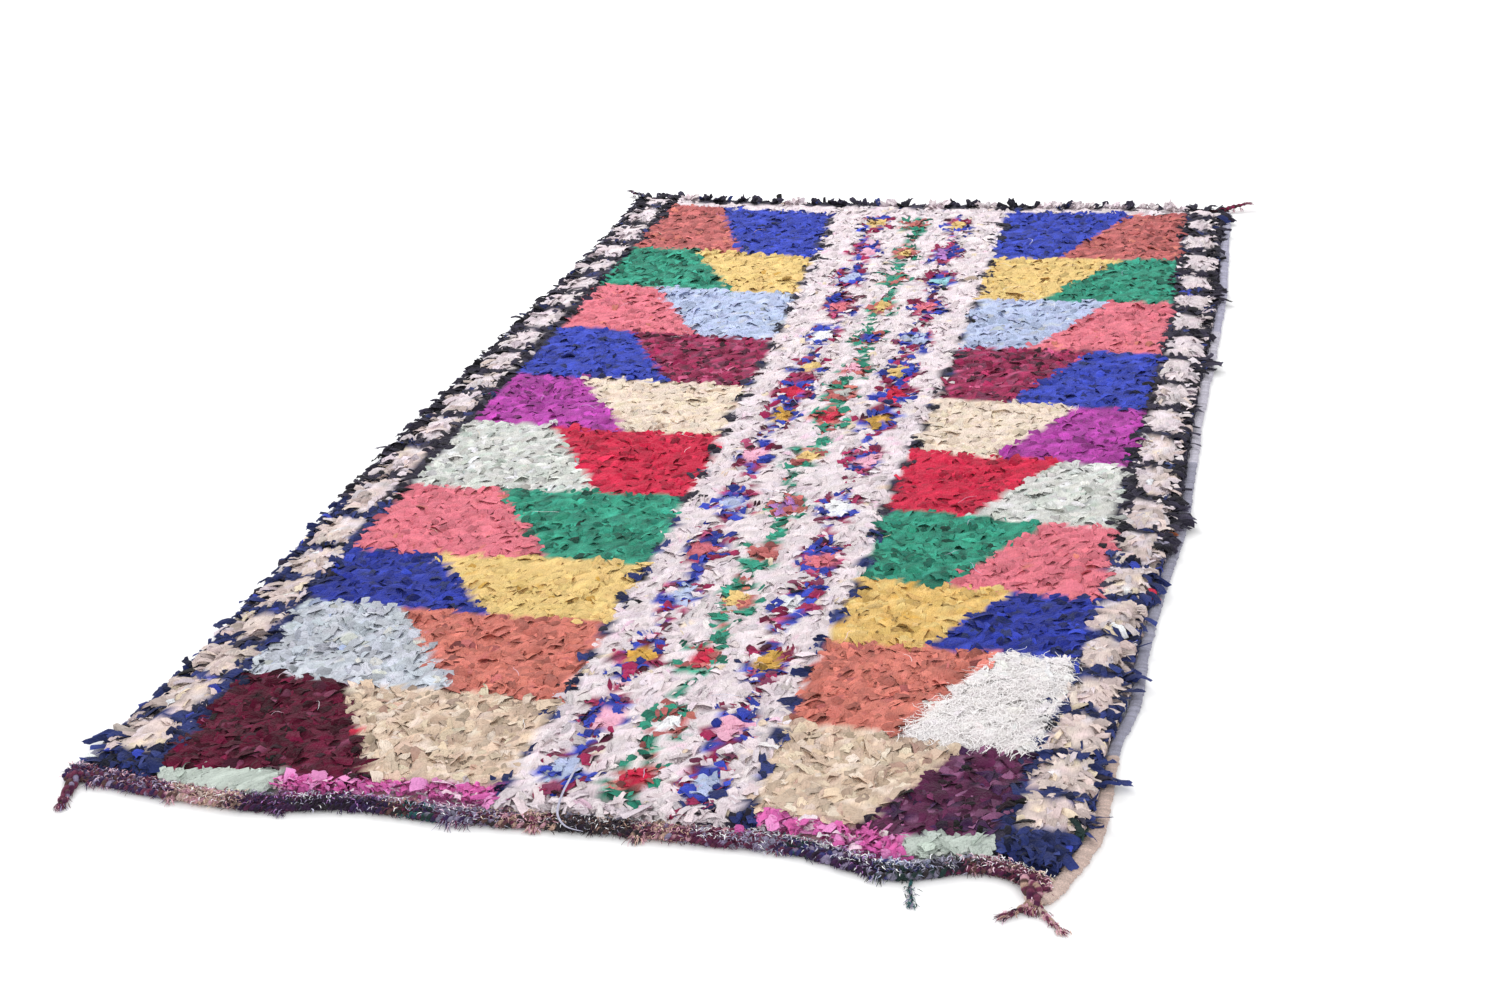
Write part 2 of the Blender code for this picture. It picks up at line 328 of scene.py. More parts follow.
# Stems down the garlands, and how two cloths mix in them and in the petals
STEM_ENDS = (-1.24, 1.22)
STEM_HALF = 0.0100
STEM_WANDER = 0.010
STEM_TURN = 16
STEM_PHASE = 2.1
Mix = namedtuple("Mix", "first below second above")
SIDE_MIX = Mix("cobalt", 0.30, "burgundy", 0.64)
MIDDLE_MIX = Mix("green", 0.72, "rust", 0.86)
LETTERS = {"w": "burgundy", "b": "cobalt", "g": "green", "r": "rust"}
SWAPS = {"w": "b", "b": "w", "g": "g", "r": "g"}
PETAL_SHARE = 0.96
SWAP_SHARE = 0.12

# Colours of the cloths, as red, green and blue from 0 to 255
PALETTE = {
    "cobalt": (50, 66, 172),
    "burgundy": (150, 36, 80),
    "rust": (184, 100, 99),
    "green": (46, 140, 116),
    "yellow": (227, 195, 127),
    "coral": (220, 117, 132),
    "sky": (180, 192, 224),
    "purple": (172, 62, 160),
    "beige": (232, 214, 198),
    "mint": (208, 209, 205),
    "crimson": (199, 32, 68),
    "salmon": (205, 119, 106),
    "cloud": (194, 199, 209),
    "ivory": (242, 238, 238),
    "maroon": (86, 6, 40),
    "plum": (86, 32, 68),
    "fuchsia": (222, 104, 178),
    "pale_mint": (196, 206, 198),
    "navy": (38, 48, 100),
    "charcoal": (44, 40, 56),
    "field": (227, 214, 219),
    "square": (212, 194, 189),
    "pale_square": (222, 209, 214),
    "cream": (232, 214, 190),
    "sand": (211, 187, 166),
    "pink": (238, 176, 200),
    "pale_pink": (240, 206, 224),
    "violet": (176, 120, 190),
    "aqua": (150, 205, 215),
    "white": (240, 240, 244),
    "mustard": (206, 160, 74),
    "mauve": (116, 52, 80),
    "lilac": (186, 184, 206),
    "rose_beige": (208, 184, 174),
    "aubergine": (58, 28, 66),
    "bottle": (30, 52, 50),
    "slate": (128, 124, 146),
    "ink": (54, 36, 80),
    "soot": (46, 40, 44),
    "tan": (190, 156, 140),
    "rose": (206, 154, 168),
    "brown": (96, 68, 66),
    "teal": (34, 92, 92),
    "wine": (86, 28, 54),
    "heather": (146, 134, 166),
    "indigo": (60, 58, 120),
    "deep_cobalt": (36, 50, 148),
    "night": (34, 20, 40),
    "steel": (84, 100, 156),
    "orange": (226, 126, 84),
    "haze": (160, 159, 178),
    "pale_lilac": (206, 202, 216),
    "gold": (219, 180, 107),
    "orchid": (232, 146, 204),
    "raspberry": (182, 78, 118),
    "mulberry": (128, 80, 114),
}

# Cloths that turn up here and there among another cloth's strips, and how often
Stray = namedtuple("Stray", "among cloth share")
STRAYS = (
    Stray("field", "cream", 0.012),
    Stray("field", "pale_pink", 0.015),
    Stray("square", "cream", 0.07),
    Stray("square", "white", 0.02),
    Stray("charcoal", "navy", 0.06),
    Stray("navy", "charcoal", 0.08),
    Stray("navy", "cobalt", 0.02),
    Stray("burgundy", "mauve", 0.16),
    Stray("burgundy", "raspberry", 0.16),
    Stray("burgundy", "wine", 0.08),
    Stray("maroon", "mauve", 0.05),
    Stray("plum", "mulberry", 0.18),
    Stray("plum", "aubergine", 0.18),
    Stray("fuchsia", "orchid", 0.28),
    Stray("fuchsia", "pale_pink", 0.10),
    Stray("fuchsia", "field", 0.03),
    Stray("mint", "white", 0.03),
    Stray("mint", "pale_mint", 0.09),
    Stray("cloud", "mint", 0.04),
    Stray("cloud", "sky", 0.02),
    Stray("salmon", "rust", 0.07),
    Stray("rust", "salmon", 0.06),
    Stray("coral", "salmon", 0.02),
    Stray("beige", "cream", 0.25),
    Stray("beige", "sand", 0.06),
    Stray("yellow", "mustard", 0.02),
    Stray("gold", "yellow", 0.22),
    Stray("gold", "mustard", 0.06),
    Stray("cobalt", "navy", 0.05),
    Stray("deep_cobalt", "navy", 0.08),
    Stray("deep_cobalt", "cobalt", 0.10),
    Stray("sky", "cloud", 0.08),
    Stray("sand", "beige", 0.16),
    Stray("sand", "cream", 0.06),
    Stray("sand", "tan", 0.025),
)

# How strips of each kind are cut and lie: metres and degrees
Style = namedtuple("Style", "length width root_lift tip_lift tip_spread spread roll fold crumple rise")
STYLES = {
    "shard": Style((0.026, 0.042), (0.011, 0.019), 50, -14, 8, 36, 12, 0.16, 0.0008, 1.00),
    "flake": Style((0.030, 0.046), (0.014, 0.023), 52, -11, 10, 32, 14, 0.14, 0.0012, 1.00),
    "tuft": Style((0.030, 0.048), (0.0075, 0.0125), 52, -12, 9, 22, 16, 0.26, 0.0007, 1.04),
    "rib": Style((0.026, 0.040), (0.011, 0.019), 50, -12, 9, 36, 14, 0.22, 0.0008, 0.96),
    "soft": Style((0.034, 0.054), (0.007, 0.013), 50, -12, 8, 19, 15, 0.26, 0.0007, 0.98),
    "petal": Style((0.022, 0.032), (0.012, 0.019), 54, -8, 10, 30, 12, 0.12, 0.0007, 1.06),
    "pleat": Style((0.022, 0.030), (0.008, 0.011), 50, -10, 5, 10, 12, 0.30, 0.0004, 0.74),
    "shred": Style((0.018, 0.028), (0.005, 0.011), 60, -2, 16, 44, 24, 0.24, 0.0010, 1.00),
    "tooth": Style((0.026, 0.036), (0.010, 0.016), 76, 42, 10, 25, 15, 0.24, 0.0008, 1.40),
    "low": Style((0.020, 0.030), (0.009, 0.015), 50, -10, 10, 30, 14, 0.24, 0.0008, 0.72),
    "fluff": Style((0.030, 0.046), (0.008, 0.016), 46, -14, 10, 70, 14, 0.20, 0.0010, 1.02),
}
KIND_OF_CLOTH = {
    "square": "tuft",
    "pale_square": "tuft",
    "navy": "rib",
    "charcoal": "rib",
    "field": "soft",
    "pale_mint": "pleat",
    "fuchsia": "shred",
    "ivory": "fluff",
    "sand": "flake",
    "salmon": "flake",
    "maroon": "flake",
    "plum": "flake",
    "cloud": "flake",
}

# The shape of a strip and how strips of a kind differ: degrees, shares of their size, and a height in metres
ROOT_LIFT_SPREAD = 10
FOLD_LEAST = 0.5
FOLD_SPREAD = 0.8
FOLD_PITCH = (0.85, 1.5)
FOLD_START = (-0.22, 0.22)
CUT_SKEW = 0.32
CUT_POINT = (-0.30, 0.42)
LEVEL_SOON = 0.55
RISE_MIDDLE = 0.97
RISE_SPREAD = 0.05
LEAST_ARCH = 0.004
BEND_SPREAD = 0.28
FLARE_AT = (0, 0.45, 1)
FLARE = (0.45, 1.0, 1.0)
TAPER = (-0.30, 0.10)
WIDTH_SPREAD = 0.07
CREASE_AT = (0, 0.3, 1)
CREASE = (0.4, 1, 0.8)

# Strips packed below and strips on top of them: their share, height and growth, and how finely each is made
Layer = namedtuple("Layer", "name share rise growth droop stations columns")
LAYERS = (
    Layer("low", 0.69, 0.92, 0.95, 0, (0.30, 0.66, 1.0), 3),
    Layer("top", 0.31, 1.08, 1.18, -8, (0.20, 0.42, 0.60, 0.75, 0.88, 1.0), 4),
)
VISIBLE_FROM = 0.4
FINE_STEPS = 18
TOOTH_ZONE = 0.035
RAGGED = 0.13
FAN_ACROSS = 0.028
FAN_ALONG = 0.065
FAN_DROOP = 0.75

# Slanting pleats of the pale mint rows at the near end
PLEAT_HEADING = -55
PLEAT_PITCH = 0.0105
PLEAT_WIDTH = 0.0170
PLEAT_RIDGE = 0.0042
PLEAT_TOP = (0.0168, 0.0188, 0.0178, 0.0150, 0.0108)
PLEAT_COLUMNS = 5
PLEAT_LENGTH = 0.05
PLEAT_OVERRUN = 0.04
PLEAT_STOP = 0.003
PLEAT_LEAST = 0.25
PLEAT_JITTER = (0.0012, 0.0015, 0.0008)
PLEAT_CRUMPLE = 0.0007
PLEAT_HEIGHTS = (0.6, 1.25)
PLEAT_WIDTHS = (0.8, 1.2)
PLEAT_DYE = 0.07
PleatRow = namedtuple("PleatRow", "left right far_left far_right")
PLEAT_ROWS = (
    PleatRow(-0.600, -0.428, -1.266, -1.245),
    PleatRow(0.428, 0.533, -1.252, -1.230),
)

# Overwrapped selvedges: a flat cord, its wraps and their slant, and its turn round the near right corner
SELVEDGE_OUT = 0.0095
SELVEDGE_HALF = 0.0092
SELVEDGE_HIGH = 0.0034
SELVEDGE_STOP = 0.004
FAR_SELVEDGE = 1.22
SELVEDGE_SIDES = 10
Wrapping = namedtuple("Wrapping", "y_from cloth")
RIGHT_WRAPPINGS = (
    Wrapping(-1.50, "rose_beige"),
    Wrapping(-1.02, "haze"),
    Wrapping(-0.02, "pale_lilac"),
    Wrapping(0.60, "lilac"),
)
LEFT_WRAPPINGS = (Wrapping(-1.50, "haze"),)
SELVEDGE_TURN = ((0.6245, -1.290), (0.6165, -1.312), (0.6020, -1.330), (0.5900, -1.338))
WRAP_PITCH = 0.0042
WRAP_SWELL = 0.24
WRAP_SLANT = 0.0022
CORNER_SWELL = 1.3
SWELL_AT = (-1.20, -1.02, 0.10, 0.45)
RINGS_PER_WRAP = 3
SELVEDGE_STATIONS = 90
SELVEDGE_TIP = 0.15
WRAP_SPREAD = 0.07
WRAP_DYE = 0.10
RING_DYE = 0.02

# Slow random swings: the distance from one to the next and their size
SELVEDGE_SWAY = (0.06, 0.0006)
SELVEDGE_SWELLS = (0.05, 0.08)
WRAPPING_SWAY = (0.03, 0.05)
BRAID_SWAY = (0.040, 0.0013)
BRAID_RISE = (0.06, 0.0003)
CORD_SWELLS = (0.018, 0.17)
CORD_TURNS = (0.04, 0.7)
PLY_SWELLS = (0.006, 0.07)
STRAND_SWELLS = (0.006, 0.06)

# Stretches of the right rim where strips hang out over the selvedge
Overhang = namedtuple("Overhang", "y half")
OVERHANGS = (
    Overhang(1.320, 0.050),
    Overhang(1.195, 0.040),
    Overhang(0.795, 0.070),
    Overhang(0.390, 0.065),
    Overhang(-0.305, 0.125),
    Overhang(-0.545, 0.045),
    Overhang(-0.800, 0.020),
    Overhang(-1.060, 0.035),
    Overhang(-1.160, 0.020),
)
OVERHANG_PULL = 0.9
CORNER_FROM = -1.19

# Cords of two plies that make the braids: how far out and how high each lies, its radius, its twist
# and which of the yarns at its place it is made of
Cord = namedtuple("Cord", "out lift radius pitch part")
NEAR_CORDS = (
    Cord(0.0065, 0.0010, 0.0052, 0.0150, "body top"),
    Cord(0.0165, 0.0, 0.0060, -0.0165, "body"),
    Cord(0.0268, 0.0, 0.0052, 0.0145, "body"),
)
FAR_CORDS = (
    Cord(0.0055, 0.0, 0.0034, 0.0110, "body"),
    Cord(0.0130, 0.0, 0.0034, -0.0120, "body"),
)
BRAID_OVERRUN = 0.018
PLY_RADIUS = 0.58
PLY_OUT = 0.46
PLY_SIDES = 7
DYED_LENGTH = 0.32
YARN_DYE = 0.12
Twining = namedtuple("Twining", "end cords yarns fibres sides step")
YARN_BLUR = 0.012

# Yarns twined into the near end, each stretch from its left end
Yarns = namedtuple("Yarns", "x body top fleck")
NEAR_YARNS = (
    Yarns(
        -0.75, "plum mauve ink brown heather ink", "plum aubergine mauve rose", "rose pale_pink mauve heather"
    ),
    Yarns(-0.570, "tan rose rose_beige brown", "rose_beige cream rose pale_pink", "cream white rose mauve"),
    Yarns(-0.465, "aubergine ink plum night", "ink aubergine mauve", "heather violet aubergine"),
    Yarns(-0.385, "night aubergine night soot", "ink heather plum", "white heather lilac"),
    Yarns(-0.330, "night aubergine ink", "rose heather lilac", "lilac violet ink"),
    Yarns(-0.265, "soot brown plum soot mauve", "pale_pink rose heather", "white lilac tan"),
    Yarns(-0.225, "ink bottle teal", "lilac ink rose", "white teal lilac"),
    Yarns(-0.200, "heather ink slate plum", "pale_pink lilac heather", "white pale_pink heather"),
    Yarns(-0.140, "brown plum soot heather", "lilac rose_beige heather", "cream rose lilac"),
    Yarns(-0.093, "rose brown mauve tan soot", "rose_beige rose brown", "cream pale_pink tan"),
    Yarns(-0.030, "soot night brown soot", "soot slate", "slate tan white"),
    Yarns(0.080, "tan brown mauve plum rose", "heather pale_pink rose", "tan cream rose"),
    Yarns(0.150, "plum mauve heather wine plum", "pale_pink white rose", "white rose lilac"),
    Yarns(0.210, "plum heather slate mauve", "pale_pink rose violet", "white lilac mauve"),
    Yarns(0.277, "indigo bottle ink aubergine", "pale_pink rose heather", "white lilac teal"),
    Yarns(0.330, "ink aubergine night heather", "lilac white pale_pink", "white lilac violet"),
    Yarns(0.393, "bottle indigo slate soot", "lilac slate sky", "white sky lilac"),
    Yarns(0.450, "charcoal slate soot bottle", "white lilac slate", "white lilac slate"),
    Yarns(0.503, "plum night mauve brown", "pale_pink rose rose_beige", "pale_pink white rose"),
    Yarns(0.560, "plum wine brown mauve rose", "pale_pink cream rose_beige", "white pale_pink cream rose"),
)
FAR_YARNS = (
    Yarns(-0.75, "plum ink aubergine", "plum charcoal", "plum mauve ink"),
    Yarns(-0.64, "charcoal soot aubergine", "charcoal soot", "charcoal plum soot"),
    Yarns(0.66, "wine brown soot", "brown wine", "wine brown"),
)
CORNER_YARNS = (
    Yarns(-2, "mauve brown plum night mauve heather plum", "mauve", "rose plum heather mauve"),
    Yarns(0, "mauve brown plum wine night rose tan mauve", "mauve", "rose wine pale_pink tan mauve"),
)
FAR_TAIL_YARNS = (
    Yarns(-2, "charcoal plum soot slate", "plum", "slate charcoal soot"),
    Yarns(0, "wine brown mauve burgundy", "brown", "rose wine burgundy"),
)
TASSEL_YARNS = (Yarns(-2, "bottle teal slate", "bottle", "bottle teal slate"),)
ROSE_YARNS = (Yarns(-2, "rose rose_beige tan mauve", "rose", "rose rose_beige wine"),)

TWININGS = (
    Twining("near", NEAR_CORDS, NEAR_YARNS, 1.0, 7, 0.0019),
    Twining("far", FAR_CORDS, FAR_YARNS, 0.35, 5, 0.0028),
)

# Fibres that stand off the braids: how many, how long, how wide and how they lie
FLECKS_PER_METRE = 3000
PALE_FLECKS = 0.24
FLECK_LENGTH = (0.005, 0.012)
FLECK_WIDTH = (0.0008, 0.0017)
FLECK_RISE = 0.0028
FLECK_CURL = 1.1
FLECK_LEVEL = (0.86, 1.02)
FLECK_DYE = 0.1
PALE_TO = 1.3
FIBRE_STATIONS = 4

# Brushes of fibres at nubs and frayed tips, and the fibres along the near braid's outer edge
BRUSH_LENGTH = (0.5, 1.1)
BRUSH_BLUR = 0.003
BRUSH_FLATTER = (1, 1, 0.3)
BRUSH_RISE = 0.002
BRUSH_CURL = 0.6
BRUSH_WIDTH = (0.0008, 0.0016)
BRUSH_FLECKS = 0.35
BRUSH_LEVEL = 0.0008
BRUSH_SINKS = 0.85
RAISED_SINKS = 0.1
EDGE_FIBRES = 60
EDGE_OUT = 0.029
EDGE_HEIGHT = (0.002, 0.008)
EDGE_LENGTH = 0.008
EDGE_LENGTHS = (0.5, 1.3)
EDGE_WIDTH = (0.0008, 0.0015)
EDGE_TURN = 0.7
EDGE_CURL = 0.9

# Nubs of loose yarn that hang off the near braid, each made of a few brushes
BRUSHES_PER_NUB = 3
NUB_BLUR = 0.007
NUB_LEVEL = 0.006
NUB_TURN = 0.35
NUB_SPREAD = 0.30
NUB_LENGTH = (0.55, 1.0)
Nub = namedtuple("Nub", "x length count")
NUBS = (
    Nub(-0.675, 0.014, 30),
    Nub(-0.560, 0.024, 46),
    Nub(-0.400, 0.022, 60),
    Nub(-0.300, 0.010, 26),
    Nub(-0.165, 0.020, 60),
    Nub(-0.050, 0.022, 70),
    Nub(0.030, 0.014, 30),
    Nub(0.087, 0.024, 60),
    Nub(0.270, 0.014, 34),
    Nub(0.395, 0.022, 60),
    Nub(0.520, 0.012, 30),
)

# Tails: their yarns and width, the fray at the tip, their rise towards it and their course on the floor
Tail = namedtuple("Tail", "piece yarns width fray rise course")
TAILS = (
    Tail("left_plait", CORNER_YARNS, 0.0170, 0.008, 0,
         ((-0.713, -1.284), (-0.711, -1.302), (-0.707, -1.322), (-0.702, -1.342), (-0.699, -1.352))),
    Tail("right_plaits", CORNER_YARNS, 0.0230, 0.009, 0,
         ((0.582, -1.300), (0.590, -1.3165), (0.596, -1.328), (0.597, -1.342), (0.596, -1.350))),
    Tail("right_plaits", CORNER_YARNS, 0.0110, 0.017, 0,
         ((0.597, -1.330), (0.592, -1.342), (0.585, -1.352), (0.576, -1.360), (0.570, -1.365))),
    Tail("right_plaits", ROSE_YARNS, 0.0095, 0.009, 0,
         ((0.599, -1.330), (0.603, -1.344), (0.612, -1.358), (0.624, -1.373), (0.634, -1.383))),
    Tail("green_tassel", TASSEL_YARNS, 0.0045, 0.011, 0,
         ((0.446, -1.318), (0.446, -1.3335), (0.450, -1.346), (0.452, -1.356), (0.453, -1.362))),
    Tail("far_tails", FAR_TAIL_YARNS, 0.0115, 0.018, 0.010,
         ((-0.690, 1.370), (-0.702, 1.374), (-0.722, 1.384), (-0.738, 1.386), (-0.746, 1.392))),
    Tail("far_tails", FAR_TAIL_YARNS, 0.0125, 0.022, 0.013,
         ((0.684, 1.386), (0.698, 1.391), (0.714, 1.399), (0.730, 1.405), (0.742, 1.411))),
)
STRAND_RADIUS = 0.25
STRAND_SWING = 0.27
STRAND_BOB = 0.16
PLAIT_PITCH = 2.9
TAIL_STEP = 0.0016
TAIL_TAPER_AT = (0, 0.5, 1)
TAIL_TAPER = (1, 0.95, 0.62)
TAIL_LEVEL = 0.46
TAIL_START = 0.003
TAIL_START_TO = 0.25
TAIL_DYED = 0.0042
FRAY_FIBRES = 90
FRAY_SPREAD = 0.26
FRAY_LEVEL = 0.3
WISP_FIBRES = 14
WISP_LENGTH = 0.007
WISP_SPREAD = 1.4
WISP_LEVEL = 0.5
TAIL_NODES = {
    "left_plait": "corner_plait_left",
    "right_plaits": "corner_plaits_right",
    "green_tassel": "end_tassel",
    "far_tails": "end_braid_far",
}

# The woolly ivory patch and the loose threads on the pile
FLUFF_FIBRES = 4200
FLUFF_TRIES = 6
FLUFF_ACROSS = (0.30, 0.62)
FLUFF_ALONG = (-1.06, -0.74)
FLUFF_LEVEL = (0.80, 1.12)
FLUFF_TURN = 1.3
FLUFF_RISE = 0.006
FLUFF_RISES = (-0.2, 1.0)
FLUFF_CURL = 1.1
FLUFF_DYE = 0.03
FLUFF_LENGTH = (0.014, 0.034)
FLUFF_WIDTH = (0.0006, 0.0013)
THREAD_COUNT = 80
THREADS_ACROSS = (-0.66, 0.62)
THREADS_ALONG = (-1.22, 1.30)
THREAD_LEVEL = 0.004
THREAD_RISE = 0.003
THREAD_STATIONS = 9
THREAD_LENGTH = (0.016, 0.055)
THREAD_WIDTH = (0.0005, 0.0009)
THREAD_CLOTHS = "white white pale_pink lilac cream sky charcoal"

# One long pale strip that curls over the near braid
STRAY_STRIP = (
    (-0.030, -1.170, 0.026),
    (-0.028, -1.215, 0.028),
    (-0.026, -1.256, 0.026),
    (-0.020, -1.284, 0.021),
    (-0.004, -1.300, 0.017),
    (0.020, -1.303, 0.014),
)
STRAY_STRIP_WIDTH = 0.0032
STRAY_STRIP_STEP = 0.006

# How unevenly the cloths are dyed, and the painted shade and highlight along each strip: darker at its root,
# where shade falls between the strips, lighter towards its tip, and deeper on dark cloths
PALE_SPREAD = 0.045
DARK_SPREAD = 0.44
HUE_SPREAD = 0.018
PAINTED_SHADE_AT = (0.0, 0.3, 0.6, 0.85, 1.0)
PAINTED_SHADE = (0.42, 0.62, 0.92, 1.06, 1.22)
PAINTED_SHADE_DEPTH_AT = (0.1, 0.7)
PAINTED_SHADE_DEPTH = (1.9, 0.20)
SPREAD_AT = (0.05, 0.9)

# How much of its bake cell a strip takes up, and the size of the cloth that the strips are cut from
CELL_INNER = 0.84
CELL_MARGIN = (1 - CELL_INNER) / 2
CLOTH_METRES = 8

# Lowest points of yarns and of fibres above the floor
LOWEST = 0.0003
LOWEST_FIBRE = 0.0004

# Shapes of all tubes and fibres
CURVE_POINTS = 40
TUBE_TIP = 0.1
FIBRE_TAPER_AT = (0, 0.2, 0.8, 1)
FIBRE_TAPER = (0.7, 1, 0.9, 0.4)
FIBRE_RISES = (0.2, 1.0)
CURL_SWING = 0.5
CURL_WAVE = 5
CURL_START = 6


def linear(colour):
    """A palette colour as linear light."""
    c = np.asarray(colour, float) / 255
    return np.where(c <= 0.04045, c / 12.92, ((c + 0.055) / 1.055) ** 2.4)


CLOTHS = list(PALETTE)
CLOTH = {name: number for number, name in enumerate(CLOTHS)}
LINEAR = np.array([linear(PALETTE[name]) for name in CLOTHS])
KINDS = list(STYLES)


def curve_through(at, stations, values):
    """The value at each of these places, on a smooth curve through the stations."""
    order = np.argsort(stations)
    x = np.asarray(stations, float)[order]
    y = np.asarray(values, float)[order]
    slope = np.gradient(y, x)
    at = np.clip(np.asarray(at, float), x[0], x[-1])
    i = np.clip(np.searchsorted(x, at) - 1, 0, len(x) - 2)
    width = x[i + 1] - x[i]
    t = (at - x[i]) / width
    return (
        (2 * t**3 - 3 * t**2 + 1) * y[i]
        + (t**3 - 2 * t**2 + t) * width * slope[i]
        + (3 * t**2 - 2 * t**3) * y[i + 1]
        + (t**3 - t**2) * width * slope[i + 1]
    )


def side_x(y, side):
    return curve_through(y, [s.y for s in SIDES], [getattr(s, side) for s in SIDES])


def end_y(x, end):
    return curve_through(x, [e.x for e in ENDS], [getattr(e, end) for e in ENDS])


def column_x(y, name):
    return curve_through(y, [c.y for c in COLUMNS], [getattr(c, name) for c in COLUMNS])


def column_edges(y):
    """The borders' inner edges and both edges of the field, from left to right."""
    return [column_x(y, name) for name in Column._fields[1:]]


def paint(colours, where, name):
    colours[where] = CLOTH[name]


def paint_bands(colours, x, y, edges):
    """The bands of two colours in the panels left and right of the field."""
    border_left, field_left, field_right, border_right = edges
    panels = (
        (x < field_left, border_left, field_left, "y_left", "y_field_left", "left", 0),
        (x > field_right, field_right, border_right, "y_field_right", "y_right", "right", 2),
    )
    for inside, low, high, start, stop, side, first in panels:
        share = np.clip((x - low) / (high - low), 0, 1)
        for band, following in zip(BANDS, BANDS[1:]):
            top = getattr(band, start) * (1 - share) + getattr(band, stop) * share
            bottom = getattr(following, start) * (1 - share) + getattr(following, stop) * share
            here = inside & (y <= top) & (y > bottom)
            down = np.clip((top - y) / (top - bottom), 0, 1)
            meet = getattr(band, f"{side}_far") * (1 - down) + getattr(band, f"{side}_near") * down
            names = band.colours.split()
            paint(colours, here & (x < meet), names[first])
            paint(colours, here & (x >= meet), names[first + 1])


def paint_border(colours, x, y, middle, squares, outward, chance):
    """One side border: pale squares on a dark ground, nearer to the rug's rim than to its bands."""
    paint(colours, y > NAVY_STARTS, "charcoal")
    paint(colours, y <= NAVY_STARTS, "navy")
    tops = [squares[0] + END_SQUARE_HALF] + [(a + b) / 2 for a, b in zip(squares, squares[1:])]
    ends = tops[1:] + [squares[-1] - END_SQUARE_HALF]
    blur = SQUARE_BLUR * chance.normal(0, 1, (2, *x.shape))
    wider = np.interp(y, WIDER_BETWEEN, (WIDER_NEAR, 1))
    gap = np.interp(y, SQUARE_GAP_AT, SQUARE_GAP)
    off = (x - middle) * outward + blur[0]
    along = y + blur[1]
    for top, end in zip(tops, ends):
        tall = (along < top - gap) & (along > end + gap)
        square = tall & (off < SQUARE_OUTWARD * wider) & (off > -SQUARE_INWARD * wider)
        paler = chance.random(x.shape) < np.interp(y, PALER_FROM, PALER_SHARE)
        paint(colours, square & ~paler, "square")
        paint(colours, square & paler, "pale_square")


def distance(x, middles):
    """How far each place is from the nearest of these middles."""
    return np.min([abs(x - middle) for middle in middles], axis=0)


def paint_far_end(colours, x, y, edges):
    """The far border: a pale line, then a dark line with pale squares on it."""
    first = BANDS[0]
    line = (first.y_left, first.y_field_left + FAR_LINE_STEP, first.y_field_right, first.y_right)
    start = np.interp(x, FAR_LINE_AT, line)
    inside = (x > edges[0]) & (x < edges[3]) & (y > start)
    paint(colours, inside, "field")
    beyond = inside & (y > start + FAR_PALE)
    paint(colours, beyond, "charcoal")
    paint(colours, beyond & (distance(x, FAR_SQUARES) < FAR_SQUARE_HALF), "pale_square")


def paint_field_edges(colours, x, y, edges):
    """Dark dashes down both edges of the field."""
    dash = np.mod(y + DASH_SWAY * np.sin(DASH_SWAY_TURN * y), COLUMN_DASH_PITCH) < COLUMN_DASH
    for edge in (edges[1], edges[2]):
        near = (abs(x - edge) < COLUMN_DASH_HALF) & dash & (y < BANDS[0].y_field_left)
        paint(colours, near & (y > NAVY_STARTS), "charcoal")
        paint(colours, near & (y <= NAVY_STARTS), "navy")


def paint_garlands(colours, x, y, edges, chance):
    """Flowers from the listed charts, joined by stems."""
    centre = (edges[1] + edges[2]) / 2
    bit = chance.random(x.shape)
    for garland, offset in enumerate(GARLANDS):
        charts, cell, mix = SIDE_FLOWERS, SIDE_CELL, SIDE_MIX
        if offset == 0:
            charts, cell, mix = MIDDLE_FLOWERS, MIDDLE_CELL, MIDDLE_MIX
        line = centre + offset + STEM_WANDER * np.sin(STEM_TURN * y + STEM_PHASE * garland)
        stem = (abs(x - line) < STEM_HALF) & (y < STEM_ENDS[1]) & (y > STEM_ENDS[0])
        paint(colours, stem & (bit < mix.below), mix.first)
        paint(colours, stem & (bit > mix.above), mix.second)
        for number, row in enumerate(FLOWERS):
            chart = charts[(number + garland) % len(charts)]
            if (number + garland // 2) % 2:
                chart = [chart_row[::-1] for chart_row in chart]
            right = np.rint((x - centre - offset) / cell).astype(int) + len(chart[0]) // 2
            down = np.rint((row.y - y) / FLOWER_CELL).astype(int) + len(chart) // 2
            for r, chart_row in enumerate(chart):
                for c, letter in enumerate(chart_row):
                    here = (right == c) & (down == r)
                    if letter == "c":
                        paint(colours, here, row[1 + garland])
                    elif letter != ".":
                        paint(colours, here & (bit < PETAL_SHARE), LETTERS[letter])
                        paint(colours, here & (bit < SWAP_SHARE), LETTERS[SWAPS[letter]])


def pattern(x, y, chance):
    """The cloth that shows at each place."""
    edges = column_edges(y)
    colours = np.full(x.shape, CLOTH["field"])
    paint_bands(colours, x, y, edges)
    paint_field_edges(colours, x, y, edges)
    in_field = (x > edges[1]) & (x < edges[2])
    flowers = colours.copy()
    paint_garlands(flowers, x, y, edges, chance)
    colours = np.where(in_field, flowers, colours)
    paint_far_end(colours, x, y, edges)
    for inside, middle, squares, outward in (
        (x < edges[0], (side_x(y, "left") + edges[0]) / 2 - LEFT_SQUARES_OUT, SQUARES_LEFT, -1),
        (x > edges[3], (side_x(y, "right") + edges[3]) / 2, SQUARES_RIGHT, 1),
    ):
        border = colours.copy()
        paint_border(border, x, y, middle, squares, outward, chance)
        colours = np.where(inside, border, colours)
    for row in PLEAT_ROWS:
        far = np.interp(x, (row.left, row.right), (row.far_left, row.far_right))
        paint(colours, (x > row.left) & (x < row.right) & (y < far), "pale_mint")
    for tuft in ODD_TUFTS:
        paint(colours, np.hypot(x - tuft.x, y - tuft.y) < tuft.radius, tuft.cloth)
    return colours


